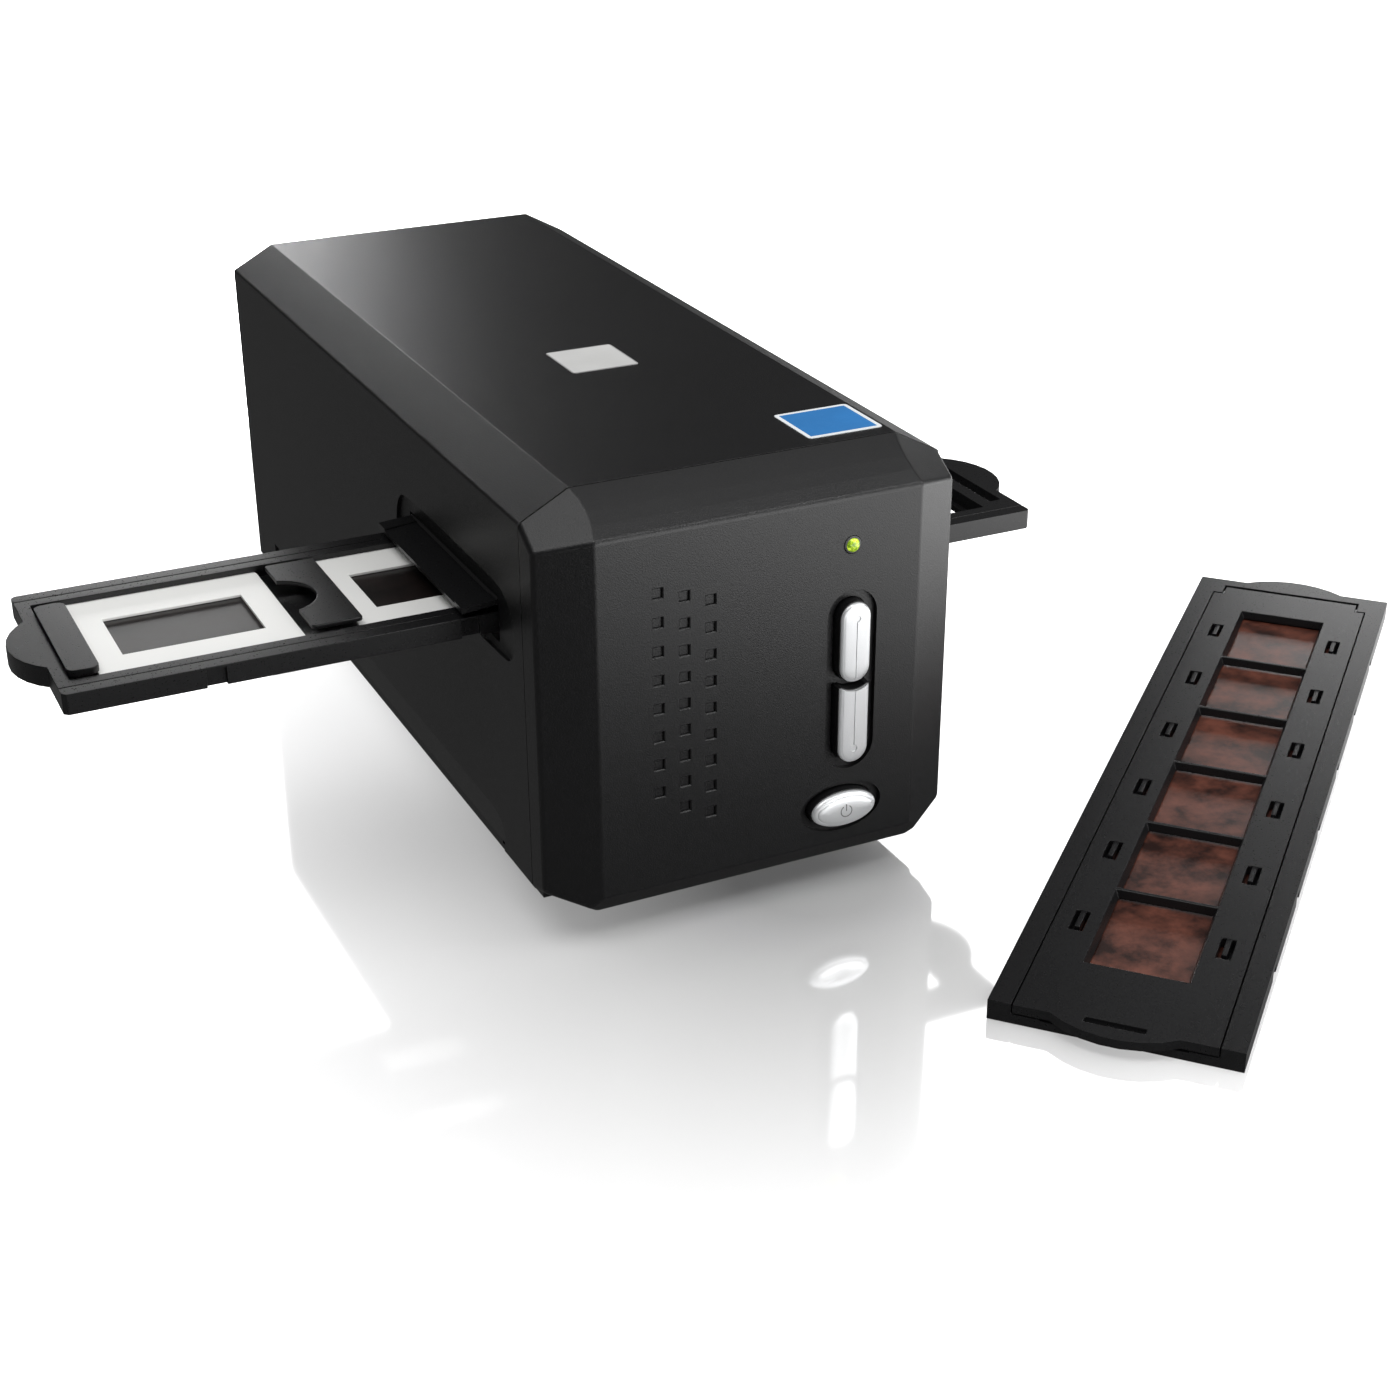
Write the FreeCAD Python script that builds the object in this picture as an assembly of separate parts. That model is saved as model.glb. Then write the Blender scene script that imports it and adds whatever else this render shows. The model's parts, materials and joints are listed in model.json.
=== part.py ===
import FreeCAD, Part
import math
import os

from FreeCAD import Vector

# Case: half outlines are mirrored about X = 0, Y is counted back from the front seam
case_w = 114.0
case_l = 246.0
case_top = 118.5
half_w = case_w / 2
wall = 2.5
shoulder_w = 13.0
shoulder_h = 7.0
skirt_z = 13.5
belly_z = 9.5
belly_in = 3.0
seam_gap = 0.3
fit_gap = 0.15
slack = 0.4
cut_over = 1.0

# Round shapes have flat sides, more of them on the larger ones
small_round = 2.4
large_round = 8.0
few_sides = 12
more_sides = 20
most_sides = 32
corner_steps = 3

# Front bezel
nose_d = 14.5
nose_drop = 9.0
nose_bulge = 0.7
cheek_d = 7.75
face_w = case_w * 0.769
chin_d = 2.5
chin_z = 14.5
chin_rise = 2.5
chin_run = 13.0
tongue_l = 3.0
tongue_t = 1.2

# Film path
gate_x = 1.4
hold_y = 52.8
hold_z = case_top * 0.633
hold_w = 63.0
hold_t = 5.3
slide_pitch = 63.5

# Slot mouths and flaps in both side walls
mouth_in = 1.9
mouth_deep = 6.6
mouth_w = 65.0
mouth_drop = 2.4
mouth_z = hold_z - mouth_drop
mouth_h = 12.1
scoop_w = 87.6
scoop_h = 19.5
scoop_y = 4.8
scoop_drop = 3.8
scoop_z = hold_z - scoop_drop
scoop_step = 0.9
flap_l = 10.2
flap_w = 63.6
flap_t = 1.0
flap_fall = 1.0
flap_in = 2.8
flap_x = half_w - flap_in
flap_rise = 8.1
flap_z = hold_z + flap_rise
barrel_r = 1.3
pin_r = 0.5
pin_over = 2.5
run_gap = 0.05
press_gap = 0.01

# Finger grips low on both side walls, deepening toward the underside
grip_y = 18.0
grip_end = 20.0
grip_l = case_l - grip_y - grip_end
grip_top = 24.2
grip_step = 0.8
grip_d = 2.1

# Base pan and feet
pan_z = 5.5
pan_in = 8.0
pan_end = 7.0
pan_t = 2.2
lip_h = 3.5
rib_t = 1.4
rib_h = 3.0
foot_side = 15.0
foot_w = case_w - 2 * foot_side
foot_d = 12.0
foot_y = 14.0
foot_taper = 0.8
screw_in = 5.9
screw_x = half_w - screw_in
screw_front_y = 24.0
screw_rear = 20.0
screw_rear_y = case_l - screw_rear
boss_r = 2.9
boss_h = 16.0
screw_r = 1.3
screw_head_r = 2.3
screw_head_h = 1.2
screw_l = 9.0
pillar_in = 16.5
pillar_x = half_w - pillar_in
pillar_r = 3.5

# Chassis
side_room = 9.5
rear_room = 8.0
frame_w = case_w - 2 * side_room
frame_t = 2.5
frame_z = 16.0
frame_y0 = 12.0
frame_y1 = case_l - rear_room
deck_y0 = 12.0
deck_y1 = 94.0
deck_t = 2.0
gate_w = frame_w * 0.4
gate_d = 26.0
fence_h = 5.0
fence_t = 4.0
board_rise = 5.0
board_z = hold_z + board_rise
board_t = 1.6

# Scan carriage
rod_r = 3.0
rod_x = frame_w * 0.357
rod_z = hold_z * 0.587
rod_y0 = 14.0
rod_rear = 39.5
rod_y1 = case_l - rod_rear
tub_w = frame_w * 0.547
tub_y0 = 34.0
tub_rear = 60.0
tub_y1 = case_l - tub_rear
tub_z0 = hold_z * 0.507
tub_z1 = hold_z * 0.88
tub_t = 2.0
bush_t = 1.4
bush_l = 12.0
lug_t = 2.0
axis_z = hold_z * 0.707
screw_axis_z = case_top * 0.228
lead_r = 3.0
motor_r = 13.0
motor_l = 17.0
nut_w = 14.0
nut_l = 16.0
lens_r = (tub_z1 - tub_z0) * 0.393
lens_l = 30.0
lens_y = case_l * 0.455
barrel_t = 2.0
glass_r = lens_r - barrel_t
glass_t = 3.0
mirror_w = tub_w - 4 * tub_t
mirror_l = (tub_z1 - tub_z0) * 0.857
mirror_t = 2.0
sensor_w = tub_w - 6 * tub_t
sensor_h = 9.0
sensor_t = 3.0

# Lamp above the film gate
hood_w = frame_w * 0.568
hood_t = 2.0
hood_rise = 10.6
hood_z0 = hold_z + hood_rise
hood_drop = 15.5
hood_z1 = case_top - hood_drop
leg_d = 4.0

# Buttons, LED and their board
face_t = 2.5
well_d = 1.4
well_x = case_w * 0.2193
well_z0 = case_top * 0.298
well_w = 14.0
well_h = case_top * 0.4186
key_w = 8.8
key_gap = 0.3
key_nest = 1.9
key_proud = 2.4
key_round = 1.2
post_r = 1.6
key_travel = 0.8
upper_z0 = case_top * 0.5089
upper_z1 = case_top * 0.6945
lower_z0 = case_top * 0.3181
lower_z1 = case_top * 0.5013
power_x = case_w * 0.2026
power_z = case_top * 0.2076
power_w = 18.9
power_h = 10.2
power_well_w = 23.4
power_well_h = 13.9
flange_t = 1.0
flange_out = 1.2
led_x = case_w * 0.215
led_z = case_top * 0.8177
led_r = 2.3
led_bevel = 0.9
panel_y = -4.0
panel_x0 = case_w * 0.105
panel_x1 = case_w * 0.351
panel_z0 = case_top * 0.118
panel_z1 = case_top * 0.8945
switch_w = 6.0
switch_t = 2.6
plunger_r = 1.6

# Small square recesses in three columns on the bezel face
dot = 2.9
dot_d = 0.8
dot_x = case_w * 0.2456

# Slide holder
tray_l = 262.2
rail_w = 8.2
end_w = 10.4
end_open = 12.2
ledge_rise = 1.7
ledge_z = hold_z + ledge_rise
tab_w = 29.4
tab_out = 6.6
slide = 50.0
slide_t = 1.9
slide_r = 2.0
window_w = 35.0
window_h = 23.0
film_t = 0.16
bar_w = 13.0
bar_l = 42.0
bar_t = 1.2
bar_rise = 4.9
bar_z = hold_z + bar_rise
notch_w = 4.8
notch_d = 1.2
notch_h = 2.6
click_h = 4.6

# Film strip holder lying beside the scanner
strip_x = 147.9
strip_y = -12.3
strip_turn = 42.4
strip_l = 276.0
strip_w = 61.0
strip_t = 5.4
strip_floor = 2.6
cover_in = 5.8
cover_gap = 0.3
cover_lift = 0.3
frame_pitch = 38.0
frame_l = 36.0
frame_h = 24.0
strip_film_w = 35.0
pivot_u = 7.5
pivot_z = 3.6
cover_far = 5.5
hinge_gap = 0.6
strip_pin_r = 0.75
strip_barrel_r = 1.7
strip_tab_w = 31.0
strip_tab_out = 5.5

# Connectors in the rear panel
usb_w = 12.0
usb_h = 11.0
usb_d = 16.0
jack_w = 9.0
jack_h = 11.0
jack_d = 13.0

seam_back = -seam_gap
hold_x = gate_x - slide_pitch / 2


def box(x0, x1, y0, y1, z0, z1):
    return Part.makeBox(x1 - x0, y1 - y0, z1 - z0, Vector(x0, y0, z0))


def around(cx, cy, w, d, z0, z1):
    return box(cx - w / 2, cx + w / 2, cy - d / 2, cy + d / 2, z0, z1)


def side_count(radius):
    if radius < small_round:
        return few_sides
    return more_sides if radius < large_round else most_sides


def rod(start, way, radius, length):
    """A round bar with flat sides whose corners lie on the circle."""
    sides = side_count(radius)
    ring = []
    for i in range(sides):
        turn = math.tau * (i + 0.5) / sides
        ring.append(Vector(radius * math.cos(turn), radius * math.sin(turn), 0))
    bar = Part.Face(Part.makePolygon(ring + [ring[0]])).extrude(Vector(0, 0, length))
    bar.Placement = FreeCAD.Placement(Vector(*start), FreeCAD.Rotation(Vector(0, 0, 1), Vector(*way)))
    return bar


def face_of(points):
    ring = [Vector(*p) for p in points]
    return Part.Face(Part.makePolygon(ring + [ring[0]]))


def prism_y(points, y0, y1):
    return face_of([(x, y0, z) for x, z in points]).extrude(Vector(0, y1 - y0, 0))


def prism_x(points, x0, x1):
    return face_of([(x0, y, z) for y, z in points]).extrude(Vector(x1 - x0, 0, 0))


def prism_z(points, z0, z1):
    return face_of([(x, y, z0) for x, y in points]).extrude(Vector(0, 0, z1 - z0))


def mirrored(shape):
    return shape.mirror(Vector(0, 0, 0), Vector(1, 0, 0))


def moved(shape, x, y, z):
    copy = shape.copy()
    copy.translate(Vector(x, y, z))
    return copy


def inset(points, d):
    """A convex ring moved inward by d on every side."""
    area = sum(a[0] * b[1] - b[0] * a[1] for a, b in zip(points, points[1:] + points[:1]))
    side = 1 if area > 0 else -1
    lines = []
    for a, b in zip(points, points[1:] + points[:1]):
        long = math.hypot(b[0] - a[0], b[1] - a[1])
        ux, uy = (b[0] - a[0]) / long, (b[1] - a[1]) / long
        lines.append(((a[0] - side * uy * d, a[1] + side * ux * d), (ux, uy)))
    ring = []
    for (p, u), (q, v) in zip(lines[-1:] + lines[:-1], lines):
        cross = u[0] * v[1] - u[1] * v[0]
        t = ((q[0] - p[0]) * v[1] - (q[1] - p[1]) * v[0]) / cross
        ring.append((p[0] + u[0] * t, p[1] + u[1] * t))
    return ring


def arc(cx, cz, rx, rz, first, last, steps):
    """Points along a part of an oval, from one angle in turns to another."""
    ring = []
    for i in range(steps + 1):
        turn = math.tau * (first + (last - first) * i / steps)
        ring.append((cx + rx * math.cos(turn), cz + rz * math.sin(turn)))
    return ring


def capsule_ring(cx, z0, z1, w):
    r = w / 2
    half_turn = more_sides // 2
    top = arc(cx, z1 - r, r, r, 0, 0.5, half_turn)
    return top + arc(cx, z0 + r, r, r, 0.5, 1, half_turn)


def oval_ring(cx, cz, w, h):
    return arc(cx, cz, w / 2, h / 2, 0, 1, most_sides)[:-1]


def capsule_xz(cx, z0, z1, w, y0, y1):
    """An upright slot shape with round ends, seen from the front."""
    return prism_y(capsule_ring(cx, z0, z1, w), y0, y1)


def oval_xz(cx, cz, w, h, y0, y1):
    return prism_y(oval_ring(cx, cz, w, h), y0, y1)


def softened(ring, front, back, size):
    """A cap with a bevel round its front rim."""
    rings = []
    for y, points in ((front, inset(ring, size)), (front + size, ring)):
        corners = [Vector(x, y, z) for x, z in points]
        rings.append(Part.makePolygon(corners + [corners[0]]))
    tip = Part.makeLoft(rings, True, True)
    return tip.fuse(prism_y(ring, front + size, back)).removeSplitter()


def rounded_box(x0, x1, y0, y1, z0, z1, r):
    """A box with its four upright edges rounded."""
    corners = ((x1 - r, y1 - r, 0), (x0 + r, y1 - r, 0.25), (x0 + r, y0 + r, 0.5), (x1 - r, y0 + r, 0.75))
    ring = []
    for cx, cy, first in corners:
        ring += arc(cx, cy, r, r, first, first + 0.25, corner_steps)
    return prism_z(ring, z0, z1)


def shell_outline(top_z):
    """The case seen from the front, its underside flat at the seam between case and pan."""
    return [
        (-half_w, skirt_z),
        (-half_w, top_z - shoulder_h),
        (-half_w + shoulder_w, top_z),
        (half_w - shoulder_w, top_z),
        (half_w, top_z - shoulder_h),
        (half_w, skirt_z),
    ]


def mouth_blocks():
    """Thick pads behind the left mouth that carry the scoop and the flap pin."""
    y0 = scoop_y - seam_gap
    y1 = scoop_y + scoop_w + seam_gap
    x0 = -half_w + wall / 2
    return box(x0, -half_w + mouth_deep, y0, y1, scoop_z - wall, scoop_z + scoop_h + wall)


def scoop():
    """A shallow funnel that narrows from a small step in the wall to the mouth."""
    outer_shares = [
        (0.122, 1.0), (0.90, 1.0), (0.967, 0.84), (1.0, 0.47), (0.978, 0.14), (0.927, 0.0),
        (0.082, 0.0), (0.031, 0.10), (0.0, 0.36), (0.009, 0.59), (0.039, 0.79), (0.076, 0.93),
    ]
    inner_shares = [
        (0.03, 1.0), (0.97, 1.0), (0.99, 0.96), (1.0, 0.80), (1.0, 0.20), (0.985, 0.0),
        (0.015, 0.0), (0.004, 0.08), (0.0, 0.40), (0.0, 0.80), (0.006, 0.93), (0.015, 0.98),
    ]
    mouth_y = hold_y - mouth_w / 2
    outer = [(scoop_y + scoop_w * a, scoop_z + scoop_h * b) for a, b in outer_shares]
    inner = [(mouth_y + mouth_w * a, mouth_z + mouth_h * b) for a, b in inner_shares]
    rings = []
    for x, ring in ((-half_w + scoop_step, outer), (-half_w + mouth_in, inner)):
        points = [Vector(x, y, z) for y, z in ring]
        rings.append(Part.makePolygon(points + [points[0]]))
    funnel = Part.makeLoft(rings, True, True)
    step = prism_x(outer, -half_w - cut_over, -half_w + scoop_step)
    return funnel.fuse(step).removeSplitter()


def mouth():
    y0 = hold_y - mouth_w / 2
    x1 = -half_w + mouth_deep + cut_over
    return box(-half_w - cut_over, x1, y0, y0 + mouth_w, mouth_z, mouth_z + mouth_h)


def flap_pin(radius):
    length = mouth_w + 2 * pin_over
    start = (-flap_x, hold_y - length / 2, flap_z)
    return rod(start, (0, 1, 0), radius, length)


def grip_ring(extra):
    shares = [(0.0, 0.55), (0.007, 0.82), (0.037, 1.0), (1.0, 1.0), (1.0, -0.4), (0.012, -0.4)]
    high = grip_top - skirt_z
    return inset([(grip_y + grip_l * a, skirt_z + high * b) for a, b in shares], -extra)


def grip_pad():
    ring = grip_ring(wall)
    high = prism_x(ring, -half_w + wall / 2, -half_w + wall + grip_d)
    keep = box(-case_w, case_w, 0, case_l - 2 * wall, skirt_z + lip_h + slack, case_top)
    return high.common(keep)


def grip_cut():
    """The grip's floor slants inward from a small step at its upper edge."""
    block = prism_x(grip_ring(0), -half_w - cut_over, -half_w + grip_d)
    profile = [
        (-half_w - cut_over, skirt_z - belly_z), (-half_w + grip_d, skirt_z - belly_z),
        (-half_w + grip_d, skirt_z), (-half_w + grip_step, grip_top), (-half_w - cut_over, grip_top),
    ]
    return block.common(prism_y(profile, 0, case_l))


def screw_places():
    return [(x, y) for x in (-screw_x, screw_x) for y in (screw_front_y, screw_rear_y)]


def pillar_places():
    return [(x, y) for x in (-pillar_x, pillar_x) for y in (screw_front_y, screw_rear_y)]


def case_boss(x, y):
    """A screw boss that stands on the pan and hangs from a web on the side wall."""
    side = 1 if x > 0 else -1
    z0 = belly_z + pan_t
    post = rod((x, y, z0), (0, 0, 1), boss_r, boss_h)
    reach = side * (half_w - wall / 2)
    web = box(min(x, reach), max(x, reach), y - rib_t, y + rib_t, skirt_z, z0 + boss_h)
    hole = rod((x, y, z0 - cut_over), (0, 0, 1), screw_r, screw_l + cut_over)
    return post.fuse(web), hole


def upper_case():
    outer = prism_y(shell_outline(case_top), 0, case_l)
    open_ring = inset(shell_outline(case_top), wall)
    open_ring[0] = (open_ring[0][0], skirt_z - cut_over)
    open_ring[-1] = (open_ring[-1][0], skirt_z - cut_over)
    inner = prism_y(open_ring, -cut_over, case_l + cut_over)
    shell = outer.cut(inner)
    adds = []
    cuts = []
    for flip in (False, True):
        for piece in (mouth_blocks(), grip_pad()):
            adds.append(mirrored(piece) if flip else piece)
        for piece in (scoop(), mouth(), grip_cut(), flap_pin(pin_r + press_gap)):
            cuts.append(mirrored(piece) if flip else piece)
    for x, y in screw_places():
        post, hole = case_boss(x, y)
        adds.append(post)
        cuts.append(hole)
    roof = case_top - wall
    for share in (0.45, 0.62, 0.8):
        y = case_l * share
        x1 = half_w - shoulder_w - wall
        adds.append(box(-x1, x1, y, y + rib_t, roof - rib_h, roof + wall / 2))
    stop_y = case_l - 1.5 * wall
    for x0, x1 in ((-half_w + wall / 2, -half_w + 2 * wall), (half_w - 2 * wall, half_w - wall / 2)):
        adds.append(box(x0, x1, stop_y - rib_t, stop_y, skirt_z + 2 * lip_h, case_top - 2 * shoulder_h))
    shell = shell.fuse(adds).removeSplitter()
    return shell.cut(cuts)


def nose_profile():
    """The bezel seen from the side: a softly bulged slope, a flat face and a chin."""
    steps = 6
    top = []
    for i in range(steps + 1):
        share = i / steps
        bulge = 4 * nose_bulge * share * (1 - share)
        top.append((-nose_d * share, case_top - nose_drop * share + bulge))
    back = 2 * nose_d
    return (
        [(back, belly_z), (back, case_top)] + top + [(-nose_d, chin_z), (-nose_d + chin_d, belly_z)]
    )


def nose_plan():
    back = 2 * nose_d
    return [
        (-half_w, back),
        (-half_w, -cheek_d),
        (-face_w / 2, -nose_d),
        (face_w / 2, -nose_d),
        (half_w, -cheek_d),
        (half_w, back),
    ]


def nose_front():
    """The bezel seen from the front, without its sloped shoulders."""
    return [
        (-half_w + belly_in, belly_z),
        (-half_w, skirt_z),
        (-half_w, case_top),
        (half_w, case_top),
        (half_w, skirt_z),
        (half_w - belly_in, belly_z),
    ]


def shoulder_wedge(d):
    """Everything above the left sloped shoulder, moved inward by d."""
    fall = nose_drop / nose_d
    lower = d * math.sqrt(1 + (shoulder_h / shoulder_w) ** 2 + fall ** 2)
    x0, x1 = -case_w, 0
    rise = shoulder_h / shoulder_w
    y0, y1 = -2 * nose_d, 2 * nose_d
    base = case_top - lower + fall * y0
    z0 = base + rise * (x0 + half_w - shoulder_w)
    z1 = base + rise * (x1 + half_w - shoulder_w)
    slab = face_of([(x0, y0, z0), (x1, y0, z1), (x1, y0, z1 + case_top), (x0, y0, z1 + case_top)])
    return slab.extrude(Vector(0, y1 - y0, fall * (y1 - y0)))


def chin_wedge(d):
    """Everything below the bevel under the left front corner, moved inward by d."""
    slope_y = chin_rise / cheek_d
    slope_x = (skirt_z - belly_z + slope_y * (nose_d - chin_d)) / chin_run
    lift = d * math.sqrt(1 + slope_x ** 2 + slope_y ** 2)
    x0, x1 = -case_w, 0
    y0, y1 = -2 * nose_d, 2 * nose_d
    base = skirt_z + lift - slope_y * y0
    z0 = base - slope_x * (x0 + half_w)
    z1 = base - slope_x * (x1 + half_w)
    slab = face_of([(x0, y0, z0), (x1, y0, z1), (x1, y0, z1 - case_top), (x0, y0, z0 - case_top)])
    return slab.extrude(Vector(0, y1 - y0, -slope_y * (y1 - y0)))


def nose_form(d, back_y):
    form = prism_y(inset(nose_front(), d), -2 * nose_d, back_y)
    form = form.common(prism_z(inset(nose_plan(), d), 0, 2 * case_top))
    form = form.common(prism_x(inset(nose_profile(), d), -case_w, case_w))
    for wedge in (shoulder_wedge(d), chin_wedge(d)):
        form = form.cut(wedge).cut(mirrored(wedge))
    return form


def lifted(ring, z):
    """A front view ring with its two lowest corners moved to one height."""
    return [(ring[0][0], z)] + ring[1:-1] + [(ring[-1][0], z)]


def bezel_tongue():
    """A thin lip that reaches from the bezel into the case, on a thicker root."""
    outline = shell_outline(case_top)
    y0 = -wall
    root = prism_y(lifted(inset(outline, wall - tongue_t / 2), skirt_z + 2 * lip_h), y0, seam_back)
    lip = prism_y(lifted(inset(outline, wall + fit_gap), skirt_z + 2 * lip_h), y0, tongue_l)
    hole = lifted(inset(outline, wall + fit_gap + tongue_t), skirt_z)
    return root.fuse(lip).removeSplitter().cut(prism_y(hole, y0 - cut_over, tongue_l + cut_over))


def dots():
    """The small square recesses: column place, first and last height, count."""
    columns = [(1.0, 0.792, 0.343, 8), (0.75, 0.775, 0.296, 9), (0.5, 0.756, 0.27, 9)]
    cuts = []
    for column_share, high_share, low_share, count in columns:
        for i in range(count):
            z = case_top * (high_share + (low_share - high_share) * i / (count - 1))
            x = -dot_x * column_share
            cuts.append(around(x, -nose_d, dot, 2 * dot_d, z - dot / 2, z + dot / 2))
    return cuts


def lower_key_area(y0, y1, grow):
    """The lower scan key: round below, hollow above, so it nests under the upper key."""
    key = capsule_xz(well_x, lower_z0 - grow, lower_z1 + key_w, key_w + 2 * grow, y0, y1)
    roof = box(well_x - key_w, well_x + key_w, y0, y1, lower_z1 + grow, lower_z1 + 3 * key_w)
    nest_r = key_w / 2 + key_nest - grow
    nest = rod((well_x, y0, upper_z0 + key_w / 2), (0, 1, 0), nest_r, y1 - y0)
    return key.cut(roof).cut(nest)


def front_bezel():
    shell = nose_form(0, seam_back).cut(nose_form(wall, nose_d))
    shell = shell.fuse(bezel_tongue())
    face = -nose_d
    inner = -nose_d + face_t
    posts = []
    for x in (panel_x0 + post_r, panel_x1 - post_r):
        for z in (panel_z0 + 1.5 * post_r, panel_z1 - 1.5 * post_r):
            posts.append(rod((x, inner - wall / 2, z), (0, 1, 0), post_r, panel_y - inner + wall / 2))
    shell = shell.fuse(posts).removeSplitter()
    cuts = dots()
    cuts.append(capsule_xz(well_x, well_z0, well_z0 + well_h, well_w, face - cut_over, face + well_d))
    cuts.append(oval_xz(power_x, power_z, power_well_w, power_well_h, face - cut_over, face + well_d))
    cuts.append(capsule_xz(well_x, upper_z0 - key_gap, upper_z1 + key_gap, key_w + 2 * key_gap, face, 0))
    cuts.append(lower_key_area(face, 0, key_gap))
    cuts.append(oval_xz(power_x, power_z, power_w + 2 * key_gap, power_h + 2 * key_gap, face, 0))
    cuts.append(rod((led_x, face - cut_over, led_z), (0, 1, 0), led_r + fit_gap, face_t + 2 * cut_over))
    return shell.cut(cuts)


def rear_panel():
    ring = lifted(inset(shell_outline(case_top), wall + fit_gap), skirt_z + lip_h + slack)
    y0 = case_l - 1.5 * wall
    plate = prism_y(ring, y0, case_l - wall / 2)
    cuts = []
    for x, w, h in ((-case_w / 4, usb_w, usb_h), (case_w / 4, jack_w, jack_h)):
        z0 = board_z + board_t - fit_gap
        reach = w / 2 + fit_gap
        cuts.append(box(x - reach, x + reach, y0 - cut_over, case_l, z0, z0 + h + 2 * fit_gap))
    count = 7
    for i in range(count):
        z = case_top * (0.3 + 0.045 * i)
        cuts.append(box(-case_w / 5, case_w / 5, y0 - cut_over, case_l, z, z + wall))
    return plate.cut(cuts)


def pan_outline(d):
    """The pan seen from the front, set in under the skirt of the case."""
    w = half_w - wall - fit_gap - d
    b = w - slack
    top = skirt_z - seam_gap
    return [(-w, top), (-b, belly_z + d), (b, belly_z + d), (w, top)]


def base_pan():
    y0 = seam_gap
    y1 = case_l - seam_gap
    outer = prism_y(pan_outline(0), y0, y1)
    step = half_w - pan_in
    deep = box(-step, step, y0 + pan_end, y1 - pan_end, pan_z, belly_z + pan_t)
    body = outer.fuse(deep)
    inner_ring = lifted(pan_outline(pan_t), skirt_z + cut_over)
    hollow = prism_y(inner_ring, y0 + pan_t, y1 - pan_t)
    inner = step - pan_t
    end = pan_end + pan_t
    well = box(-inner, inner, y0 + end, y1 - end, pan_z + pan_t, skirt_z)
    body = body.cut(hollow).cut(well)
    adds = []
    lip_x = half_w - wall - fit_gap
    for x0, x1 in ((-lip_x, -lip_x + rib_t), (lip_x - rib_t, lip_x)):
        adds.append(box(x0, x1, y0 + 2 * tongue_l, y1 - 3 * wall, belly_z + pan_t / 2, skirt_z + lip_h))
    floor = pan_z + pan_t
    for share in (0.2, 0.4, 0.6, 0.78):
        y = case_l * share
        adds.append(box(-step + pan_t / 2, step - pan_t / 2, y, y + rib_t, floor - pan_t / 2, floor + rib_h))
    cuts = []
    for x, y in pillar_places():
        adds.append(rod((x, y, floor - pan_t / 2), (0, 0, 1), pillar_r, frame_z - floor + pan_t / 2))
        cuts.append(rod((x, y, floor), (0, 0, 1), screw_r, case_top))
    for x, y in screw_places():
        room = boss_r + slack
        cuts.append(box(x - room, x + room, y - room, y + room, belly_z + pan_t, case_top))
        start = (x, y, belly_z - cut_over)
        cuts.append(rod(start, (0, 0, 1), screw_r + fit_gap, case_top))
        cuts.append(rod(start, (0, 0, 1), screw_head_r + fit_gap, screw_head_h + cut_over))
    return body.fuse(adds).removeSplitter().cut(cuts)


def rubber_feet():
    """Two cross strips, narrower where they meet the table."""
    feet = []
    for y in (foot_y, case_l - foot_y):
        rings = []
        for z, less in ((0, foot_taper), (pan_z, 0)):
            x, d = foot_w / 2 - less, foot_d / 2 - less
            ring = [Vector(-x, y - d, z), Vector(x, y - d, z), Vector(x, y + d, z), Vector(-x, y + d, z)]
            rings.append(Part.makePolygon(ring + [ring[0]]))
        feet.append(Part.makeLoft(rings, True, True))
    return Part.makeCompound(feet)


def screw(x, y, z, way):
    """A slotted pan head screw whose head starts at Z and whose shank runs the given way."""
    head = rod((x, y, z), (0, 0, way), screw_head_r, screw_head_h)
    shank = rod((x, y, z), (0, 0, way), screw_r - press_gap, screw_l)
    z_slot = sorted((z - way * slack, z + way * slack))
    slot = box(x - screw_head_r, x + screw_head_r, y - seam_gap, y + seam_gap, z_slot[0], z_slot[1])
    return head.fuse(shank).removeSplitter().cut(slot)


def case_screws():
    return Part.makeCompound([screw(x, y, belly_z, 1) for x, y in screw_places()])


def chassis_screws():
    z = frame_z + frame_t + screw_head_h
    return Part.makeCompound([screw(x, y, z, -1) for x, y in pillar_places()])


def film_deck():
    """The channel that guides either holder past the gate."""
    x1 = frame_w / 2
    top = mouth_z + deck_t
    plate = box(-x1, x1, deck_y0, deck_y1, mouth_z, top)
    fences = []
    near = hold_y - hold_w / 2 - slack
    far = hold_y + hold_w / 2 + slack
    for y0, y1 in ((near - fence_t, near), (far, far + fence_t)):
        fences.append(box(-x1, x1, y0, y1, top - deck_t / 2, top + fence_h))
    body = plate.fuse(fences).removeSplitter()
    cuts = [around(gate_x, hold_y, gate_w, gate_d, mouth_z - cut_over, top + cut_over)]
    cuts.append(around(gate_x, near - fence_t / 2, notch_w * 2, 2 * fence_t, top + slack, top + 2 * fence_h))
    for share in (-0.39, 0.39):
        cuts.append(around(frame_w * share, hold_y, rail_w, hold_w * 0.7, mouth_z - cut_over, top + cut_over))
    return body.cut(cuts)


def click_spring():
    """A bent steel strip screwed to the near fence, its nose pressed back by the rail."""
    near = hold_y - hold_w / 2 - slack
    y_back = near - fence_t
    t = seam_gap
    z0 = mouth_z + deck_t + 2 * slack
    z1 = z0 + fence_h - 2 * slack
    arm = notch_w * 2.2
    shares = [(-1.0, 0), (-0.36, 0), (-0.12, 1.0), (0.12, 1.0), (0.36, 0), (1.0, 0)]
    nose = fence_t + slack - seam_gap
    outer = [(gate_x + arm * a, y_back + nose * b) for a, b in shares]
    back = [(x, y - t) for x, y in reversed(outer)]
    return prism_z(outer + back, z0, z1)


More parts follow.
